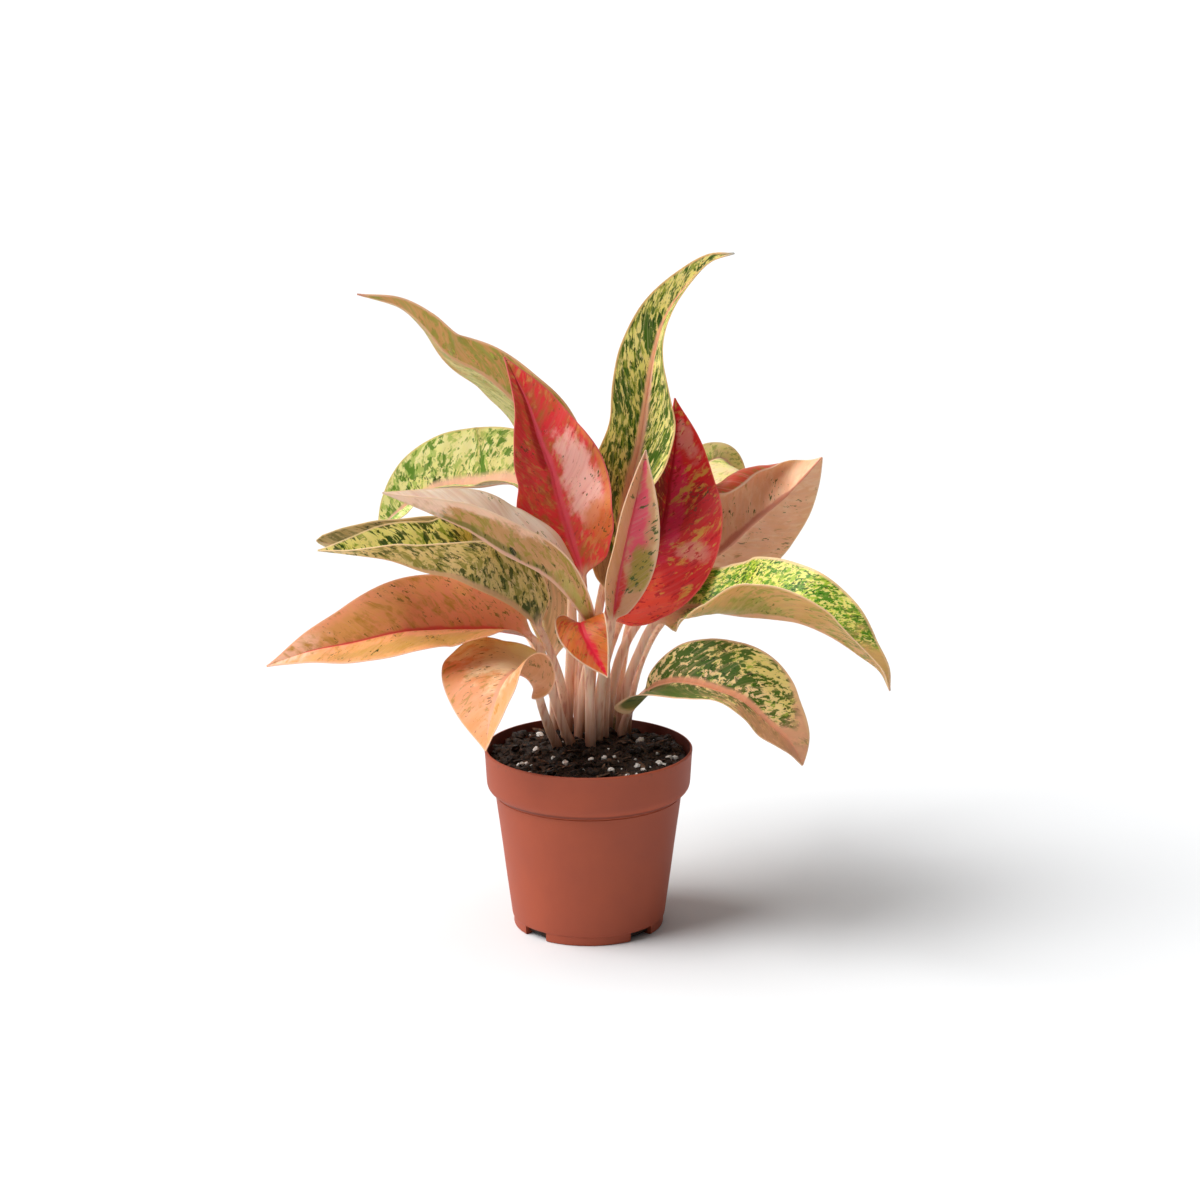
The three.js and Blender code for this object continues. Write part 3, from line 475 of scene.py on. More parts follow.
# Path is the line of the stalk and midrib, and foot the number of its point where the blade starts.
# Width is the widest half, share the part of it that each half has, lobe how far each runs back
# past the foot, belly and taper how the width grows and ends, and wave the height, number and two
# starts of the margin's waves. Face is the way that the upper side looks, fold the rise of each
# half from the midrib in degrees, curl its further turn outwards, and roll a turn at the margin.
leaves = {
    "leaf_red_left": dict(
        foot=4, width=28.5, wave=(1.2, 2.5, 0.1, 0.6),
        path=((-4, 18, 80), (-4, 18, 100), (-3, 15, 140), (-3, 12, 166), (-3, 11, 183), (-9, 12, 203),
              (-15, 13, 224), (-19, 14, 240), (-25, 16, 255), (-32, 19, 275), (-39, 22, 289),
              (-43, 24, 296)),
        face=((0, -0.97, 0.2), (0.1, -0.97, 0.2), (0.3, -0.9, 0.2), (0.5, -0.8, 0.3), (0.5, -0.8, 0.4)),
        fold=((28, 28), (28, 28), (28, 28)), curl=((8, 8), (0, 5), (0, 0))),
    "leaf_tall": dict(
        foot=4, width=24, belly=0.75, wave=(1.5, 3, 0, 0.5),
        path=((4, 20, 80), (4, 20, 100), (6, 20, 120), (10, 24, 141), (13, 29, 164), (15, 33, 188),
              (20, 35, 219), (26, 35, 246), (30, 35, 272), (34, 34, 295), (40, 34, 315), (51, 33, 332),
              (63, 29, 345), (74, 25, 349)),
        face=((-0.2, -0.95, 0.1), (-0.45, -0.85, 0.2), (0, -0.97, 0.2), (-0.55, -0.65, 0.5),
              (-0.55, -0.6, 0.55)),
        fold=((30, 30), (40, 40), (42, 42), (42, 42), (45, 40)), curl=((0, 0), (0, 10), (10, 0))),
    "leaf_red_right": dict(
        foot=4, width=32, share=(0.5, 1), belly=0.8, wave=(1, 2, 0.3, 0.1),
        path=((8, 13, 80), (8, 13, 100), (9, 10, 135), (8, 7, 154), (8, 7, 160), (20, 9, 175),
              (29, 14, 187), (34, 21, 197), (39, 31, 211), (42, 42, 227), (45, 49, 247), (45, 54, 269)),
        face=((0.35, -0.85, -0.1), (0.5, -0.85, 0.1), (0.5, -0.8, 0.3)),
        fold=((10, 42), (14, 40), (20, 30)), curl=((10, 10), (0, 5), (0, 0))),
    "leaf_young": dict(
        foot=4, width=17, belly=0.8,
        path=((5, 6, 80), (5, 6, 100), (7, 1, 130), (9, -3, 147), (12, -7, 164), (15, -10, 187),
              (19, -12, 208), (24, -13, 230), (29, -11, 255)),
        face=((0.4, -0.85, 0.1), (0.45, -0.85, 0.2), (0.3, -0.85, 0.3)),
        fold=((40, 30), (42, 25), (40, 40))),
    "leaf_front_tip": dict(
        foot=3, width=13,
        path=((1, 1, 80), (1, 1, 100), (0, -3, 141), (-2, -7, 158), (-4, -15, 166), (-1, -24, 160),
              (10, -32, 142)),
        face=((0, -0.3, 0.9), (-0.2, -0.7, 0.7), (-0.2, -0.9, 0.4)),
        fold=((15, 15), (10, 10), (10, 10))),
    "leaf_left_pale": dict(
        foot=4, width=25, share=(0.6, 1.1), belly=1.05, wave=(1, 2.5, 0.2, 0.5),
        path=((-5, 9, 80), (-5, 9, 100), (-2, 6, 130), (2, 2, 149), (3, -4, 158), (-5, -13, 174),
              (-20, -23, 193), (-42, -33, 208), (-59, -36, 220), (-74, -37, 227), (-102, -38, 239)),
        face=((0.6, 0.3, 0.7), (0.45, 0.3, 0.85), (0.3, 0.1, 0.9)),
        fold=((40, 45), (75, 60), (60, 55))),
    "leaf_left_high": dict(
        foot=3, width=18, share=(1, 1.45), wave=(1.2, 2.5, 0.6, 0.1),
        path=((-5, 25, 80), (-5, 25, 100), (-8, 33, 145), (-10, 45, 190), (-14, 52, 226),
              (-25, 56, 252), (-39, 59, 267), (-54, 62, 280), (-74, 65, 291), (-86, 67, 305),
              (-99, 69, 315), (-121, 70, 321)),
        face=((0.33, 0.93, 0.15), (0.33, 0.93, 0.15), (0.4, 0.87, 0.28), (0.5, 0.75, 0.42),
              (0.5, 0.7, 0.5)),
        fold=((30, 30), (30, 30), (30, 30))),
    "leaf_left_mottled": dict(
        foot=4, width=30, taper=0.95, wave=(1.5, 2.5, 0.6, 0.1),
        path=((-11, 17, 80), (-11, 17, 100), (-9, 22, 150), (-10, 28, 190), (-21, 33, 216),
              (-39, 38, 227), (-57, 41, 225), (-72, 43, 224), (-85, 43, 220), (-99, 42, 211),
              (-110, 41, 201)),
        face=((0.3, -0.6, 0.7), (0, -0.5, 0.86), (-0.4, -0.6, 0.6)),
        fold=((45, 35), (45, 45), (35, 35))),
    "leaf_left_big": dict(
        foot=5, width=27, share=(0.95, 1.2), wave=(1.5, 3, 0.2, 0.7),
        path=((-12, 11, 80), (-12, 11, 100), (-13, 9, 119), (-15, 4, 132), (-20, -1, 148),
              (-25, -7, 161), (-35, -14, 173), (-45, -20, 181), (-55, -24, 187), (-67, -28, 194),
              (-82, -31, 198), (-99, -33, 204), (-119, -35, 207), (-135, -36, 209)),
        face=((0.4, 0.8, 0.5), (0, 0.7, 0.71), (0, 0, 1), (0, -0.2, 0.97), (0, -0.3, 0.95)),
        fold=((45, 45), (60, 60), (57, 57), (50, 50), (45, 45))),
    "leaf_left_olive": dict(
        foot=2, width=20, share=(1.1, 0.9), belly=0.5, taper=0.55, wave=(1, 2.5, 0, 0.5),
        path=((-18, 24, 80), (-18, 24, 100), (-19, 31, 132), (-22, 35, 150), (-28, 35, 168),
              (-39, 32, 183), (-56, 29, 193), (-77, 27, 196), (-98, 26, 197), (-118, 25, 197),
              (-133, 24, 198), (-141, 23, 200)),
        face=((0.3, 0.6, 0.7), (0, 0.7, 0.7), (0, 0.7, 0.7)),
        fold=((15, 15), (15, 15), (15, 15))),
    "leaf_right_arch": dict(
        foot=4, width=30, belly=0.9, wave=(1.8, 3, 0.1, 0.4),
        path=((17, 26, 80), (17, 26, 100), (20, 25, 121), (27, 22, 142), (34, 18, 157), (45, 14, 165),
              (55, 9, 168), (65, 2, 168), (77, -9, 169), (92, -21, 171), (107, -31, 171),
              (122, -35, 165), (137, -38, 155), (147, -39, 147), (152, -39, 137)),
        face=((0, -0.8, 0.6), (0, -0.6, 0.8), (0, -0.2, 0.98), (0, -0.2, 0.98), (0.2, -0.3, 0.9)),
        fold=((5, 5), (28, 30), (57, 57), (50, 50), (35, 35))),
    "leaf_right_low": dict(
        foot=4, width=27, lobe=(0, 50), belly=1.05, taper=0.95, wave=(1.2, 2.5, 0.4, 0.8),
        path=((17, 19, 78), (17, 19, 96), (19, 16, 106), (23, 10, 115), (28, 3, 123), (35, -4, 130),
              (47, -12, 134), (57, -18, 134), (67, -23, 132), (77, -27, 129), (92, -31, 117),
              (103, -33, 107), (109, -34, 96)),
        face=((-0.3, -0.5, 0.8), (0.1, -0.63, 0.78), (0.3, -0.6, 0.7), (0.5, -0.6, 0.6),
              (0.6, -0.6, 0.5)),
        fold=((25, -30), (37, 25), (37, 37), (30, 30), (25, 25))),
    "leaf_right_peach": dict(
        foot=5, width=27, share=(1, 1.6), taper=0.95, wave=(1, 2, 0.4, 0.1),
        path=((10, 28, 80), (10, 28, 100), (12, 29, 117), (18, 28, 140), (28, 30, 157), (48, 39, 175),
              (71, 47, 190), (88, 53, 204), (107, 58, 219), (123, 61, 236)),
        face=((-0.2, 0.9, 0.1), (-0.1, 0.95, -0.1), (0, 0.9, -0.1)),
        fold=((10, 10), (12, 12), (20, 75)), roll=((0, 0), (0, 0), (0, -220), (0, -220), (0, 0))),
    "leaf_right_rear": dict(
        foot=4, width=23, share=(0.5, 1), wave=(1, 2, 0.4, 0.1),
        path=((5, 37, 80), (5, 37, 100), (9, 42, 130), (20, 51, 158), (36, 64, 188), (49, 73, 212),
              (60, 81, 226), (71, 91, 229), (80, 100, 218), (85, 108, 200)),
        face=((-0.4, -0.8, 0.4), (-0.3, -0.8, 0.5), (-0.1, -0.6, 0.8)),
        fold=((20, 20), (20, 20), (20, 20))),
    "leaf_left_low": dict(
        foot=4, width=31, share=(0.66, 1.15), belly=0.8, wave=(1, 2, 0.4, 0.1),
        path=((-16, -1, 78), (-16, -1, 95), (-20, -4, 106), (-24, -9, 120), (-26, -13, 129),
              (-30, -21, 139), (-37, -34, 145), (-43, -47, 142), (-48, -58, 130), (-51, -67, 114)),
        face=((-0.1, -0.6, 0.8), (-0.3, -0.7, 0.6), (-0.4, -0.9, 0.3)),
        fold=((0, 10), (45, 5), (30, 0))),
    "leaf_left_salmon": dict(
        foot=5, width=28, belly=0.75, taper=1.25, wave=(1, 2, 0.4, 0.1),
        path=((-9, 2, 78), (-9, 2, 96), (-13, -1, 107), (-18, -3, 124), (-22, -4, 140), (-28, -3, 154),
              (-43, -1, 158), (-61, -6, 160), (-81, -14, 162), (-95, -22, 163), (-120, -29, 159),
              (-140, -33, 156), (-162, -36, 149)),
        face=((0, -0.5, 0.8), (0, -0.71, 0.7), (0, -0.71, 0.7)),
        fold=((55, 35), (35, 30), (20, 25))),
    "leaf_rear_tall": dict(
        foot=3, width=26, belly=0.9, wave=(1.5, 2.5, 0.2, 0.6),
        path=((0, 33, 80), (0, 33, 100), (4, 39, 150), (11, 48, 185), (17, 66, 213), (18, 89, 224),
              (16, 114, 217), (12, 136, 194)),
        face=((0, -0.8, 0.6), (0, -0.2, 1), (0, 0.6, 0.8)),
        fold=((20, 20), (22, 22), (15, 15))),
    "leaf_rear_right": dict(
        foot=4, width=25, wave=(1.2, 2.5, 0.4, 0.9),
        path=((15, 41, 80), (15, 41, 100), (18, 46, 130), (24, 55, 155), (33, 66, 178), (50, 86, 184),
              (69, 106, 184), (84, 125, 172), (95, 142, 154)),
        face=((-0.3, -0.6, 0.7), (0, 0, 1), (0.3, 0.5, 0.8)),
        fold=((20, 20), (20, 20), (15, 15))),
    "leaf_rear_low_left": dict(
        foot=4, width=23, wave=(1.2, 2.5, 0.1, 0.6),
        path=((-12, 31, 80), (-12, 31, 98), (-16, 33, 116), (-24, 37, 132), (-35, 46, 147),
              (-52, 62, 158), (-76, 87, 152), (-100, 112, 134)),
        face=((0.3, -0.4, 0.8), (0, 0, 1), (-0.3, 0.4, 0.8)),
        fold=((15, 15), (15, 15), (10, 10))),
    "leaf_rear_low_right": dict(
        foot=4, width=23, wave=(1.2, 2.5, 0.5, 0),
        path=((20, 34, 80), (20, 34, 98), (23, 36, 116), (28, 40, 132), (38, 49, 148), (56, 66, 158),
              (80, 88, 153), (105, 114, 134)),
        face=((-0.3, -0.4, 0.8), (0, 0, 1), (0.3, 0.4, 0.8)),
        fold=((15, 15), (15, 15), (10, 10))),
}


def leaf_path(points):
    """Finely spaced points of the smooth curve that a leaf grows along, and its length at each."""
    knots = np.array(points, dtype=float)
    knots = np.vstack([2 * knots[0] - knots[1], knots, 2 * knots[-1] - knots[-2]])
    last = len(points) - 1
    line = []
    for at in np.linspace(0, last, path_steps + 1):
        first = min(int(at), last - 1)
        part = at - first
        p = knots[first:first + 4]
        gaps = [max(np.sum((p[i + 1] - p[i]) ** 2) ** 0.25, 1e-4) for i in range(3)]
        before, span, after = gaps
        leave = ((p[1] - p[0]) / before - (p[2] - p[0]) / (before + span)
                 + (p[2] - p[1]) / span) * span
        arrive = ((p[2] - p[1]) / span - (p[3] - p[1]) / (span + after)
                  + (p[3] - p[2]) / after) * span
        line.append(p[1] + leave * part
                    + (3 * (p[2] - p[1]) - 2 * leave - arrive) * part ** 2
                    + (2 * (p[1] - p[2]) + leave + arrive) * part ** 3)
    line = np.array(line)
    lengths = np.concatenate([[0], np.cumsum(np.linalg.norm(np.diff(line, axis=0), axis=1))])
    return line, lengths


def along_blade(values, t):
    """Blend between values that are evenly spaced from a blade's foot to its tip."""
    values = np.array(values, dtype=float)
    at = min(max(t, 0), 1) * (len(values) - 1)
    first = min(int(at), len(values) - 2)
    part = at - first
    ease = part * part * (3 - 2 * part)
    return values[first] + (values[first + 1] - values[first]) * ease


def blade_shape(t, belly, taper):
    """Half-width of a blade: rounded at its foot, widest before its middle, drawn out to its tip."""
    widest = belly / (belly + taper)
    most = widest ** belly * (1 - widest) ** taper
    return max(t, 0) ** belly * max(1 - t, 0) ** taper / most


def smooth(value, low, high):
    part = min(max((value - low) / (high - low), 0), 1)
    return part * part * (3 - 2 * part)


def grown_leaf(name, leaf, number, slant):
    """A sheet rolled round from the upper side to the lower, shaped ring by ring and closed."""
    line, lengths = leaf_path(leaf["path"])
    total = lengths[-1]
    foot = lengths[round(path_steps * leaf["foot"] / (len(leaf["path"]) - 1))] / total
    steps = len(across_steps)
    around = 4 * steps - 2
    rings = stalk_rings + blade_rings
    clear_selection()
    bpy.ops.mesh.primitive_grid_add(x_subdivisions=around, y_subdivisions=rings, size=1)
    sheet = bpy.context.object
    sheet.name = name
    points = np.zeros((rings + 1, around + 1, 3))
    lie = np.zeros((rings + 1, around + 1, 3))
    place = np.zeros((rings + 1, around + 1, 3))
    under = np.zeros((rings + 1, around + 1))
    blade = np.zeros((rings + 1, around + 1))
    share = leaf.get("share", (1, 1))
    lobe = leaf.get("lobe", (0, 0))
    height, count, *starts = leaf.get("wave", (0, 1, 0, 0))
    belly, taper = leaf.get("belly", 0.6), leaf.get("taper", 1.15)
    for i in range(rings + 1):
        on_stalk = i < stalk_rings
        t = 0 if on_stalk else ((i - stalk_rings) / blade_rings) ** ring_crowding
        s = foot * i / stalk_rings if on_stalk else foot + (1 - foot) * t
        centre = np.array([np.interp(s * total, lengths, line[:, k]) for k in range(3)])
        ahead, behind = min(s * total + look_ahead, total), max(s * total - look_ahead, 0)
        along = np.array([np.interp(ahead, lengths, line[:, k])
                          - np.interp(behind, lengths, line[:, k]) for k in range(3)])
        along /= np.linalg.norm(along)
        face = along_blade(leaf["face"], t)
        up = face - along * face.dot(along)
        up /= np.linalg.norm(up)
        side = np.cross(along, up)
        radius = stalk_root_radius + (stalk_neck_radius - stalk_root_radius) * min(s / foot, 1)
        shape = blade_shape(t, belly, taper)
        to_blade = smooth(t, 0, 0.07)
        tip_fade = smooth(1 - t, 0, 0.5)
        grown = (s - foot) * total
        upper, lower = [], []
        for which, half in enumerate((-1, 1)):
            fold = math.radians(along_blade(leaf["fold"], t)[which])
            curl = math.radians(along_blade(leaf.get("curl", ((0, 0), (0, 0))), t)[which])
            roll = math.radians(along_blade(leaf.get("roll", ((0, 0), (0, 0))), t)[which])
            width = leaf["width"] * share[which] * shape + least_half_width
            x = y = 0.0
            for j, u in enumerate(across_steps):
                step = u - across_steps[j - 1] if j else 0
                middle = fold + curl * (u - step / 2) + roll * (u - step / 2) ** 3
                x += half * math.cos(middle) * step * width
                y += math.sin(middle) * step * width
                out = u * width
                lay = grown * math.sin(slant) - out * math.cos(slant) * (1 + vein_bend * u)
                run = grown * math.cos(slant) + out * math.sin(slant)
                full = min(shape, 1)
                ripple = (height * u * u * full
                          * math.sin(2 * math.pi * (count * t + starts[which])))
                beat = flutter_pace * count * t + 0.31 * number + 0.4 * which
                flutter = flutter_height * u ** 4 * full * math.sin(2 * math.pi * beat)
                quilt = (vein_relief * 4 * u * (1 - u) * full
                         * math.sin(2 * math.pi * lay / vein_pitch))
                angle = fold + curl * u + roll * u ** 3 if j else 0
                nx, ny = -half * math.sin(angle), math.cos(angle)
                thick = (blade_thickness + (margin_thickness - blade_thickness) * u ** 3) / 2
                keel = rib_depth * tip_fade * math.exp(-(out / rib_spread) ** 2)
                groove = groove_depth * tip_fade * math.exp(-(out / groove_spread) ** 2)
                rise = math.cos(u * math.pi / 2)
                stalk_x = half * radius * math.sin(u * math.pi / 2)
                offset = ripple + flutter + quilt
                top = (stalk_x + (x + nx * (offset + thick) - stalk_x) * to_blade,
                       radius * (stalk_edge + stalk_top * rise) * (1 - to_blade)
                       + (y + ny * (offset + thick) - groove) * to_blade)
                bottom = (stalk_x + (x + nx * (offset - thick) - stalk_x) * to_blade,
                          -radius * (stalk_edge + stalk_keel * rise) * (1 - to_blade)
                          + (y + ny * (offset - thick) - keel) * to_blade)
                back = lobe[which] * u * u * min(2 * shape, 1) * max(1 - 3 * t, 0)
                marks = ((lay, run, leaves_apart * number + 0.05 * half * out),
                         (t, half * u, width - out))
                spots = [centre + side * a + up * b - along * back for a, b in (top, bottom)]
                if half < 0:
                    upper.insert(0, (spots[0], marks))
                    lower.append((spots[1], marks))
                elif j:
                    upper.append((spots[0], marks))
                    lower.insert(0, (spots[1], marks))
        ring = upper + lower
        for k in range(around + 1):
            spot, (lie_here, place_here) = ring[k % around]
            points[i, k] = spot
            lie[i, k] = lie_here
            place[i, k] = place_here
            under[i, k] = 0 if k % around < around / 2 else 1
            blade[i, k] = to_blade
    mesh = sheet.data
    mesh.vertices.foreach_set("co", (points * mm).ravel())
    for title, kind, values in (("lie", "FLOAT_VECTOR", lie), ("place", "FLOAT_VECTOR", place),
                                ("under", "FLOAT", under), ("blade", "FLOAT", blade)):
        layer = mesh.attributes.new(title, kind, "POINT")
        layer.data.foreach_set("vector" if values.ndim == 3 else "value", values.ravel())
    bpy.ops.object.mode_set(mode="EDIT")
    bpy.ops.mesh.select_mode(type="VERT")
    bpy.ops.mesh.select_all(action="SELECT")
    bpy.ops.mesh.remove_doubles(threshold=0.0000005)
    bpy.ops.mesh.select_all(action="DESELECT")
    bpy.ops.mesh.select_non_manifold()
    bpy.ops.mesh.fill()
    bpy.ops.mesh.select_all(action="SELECT")
    bpy.ops.mesh.normals_make_consistent(inside=False)
    bpy.ops.object.mode_set(mode="OBJECT")
    shade(sheet, 70)
    return sheet
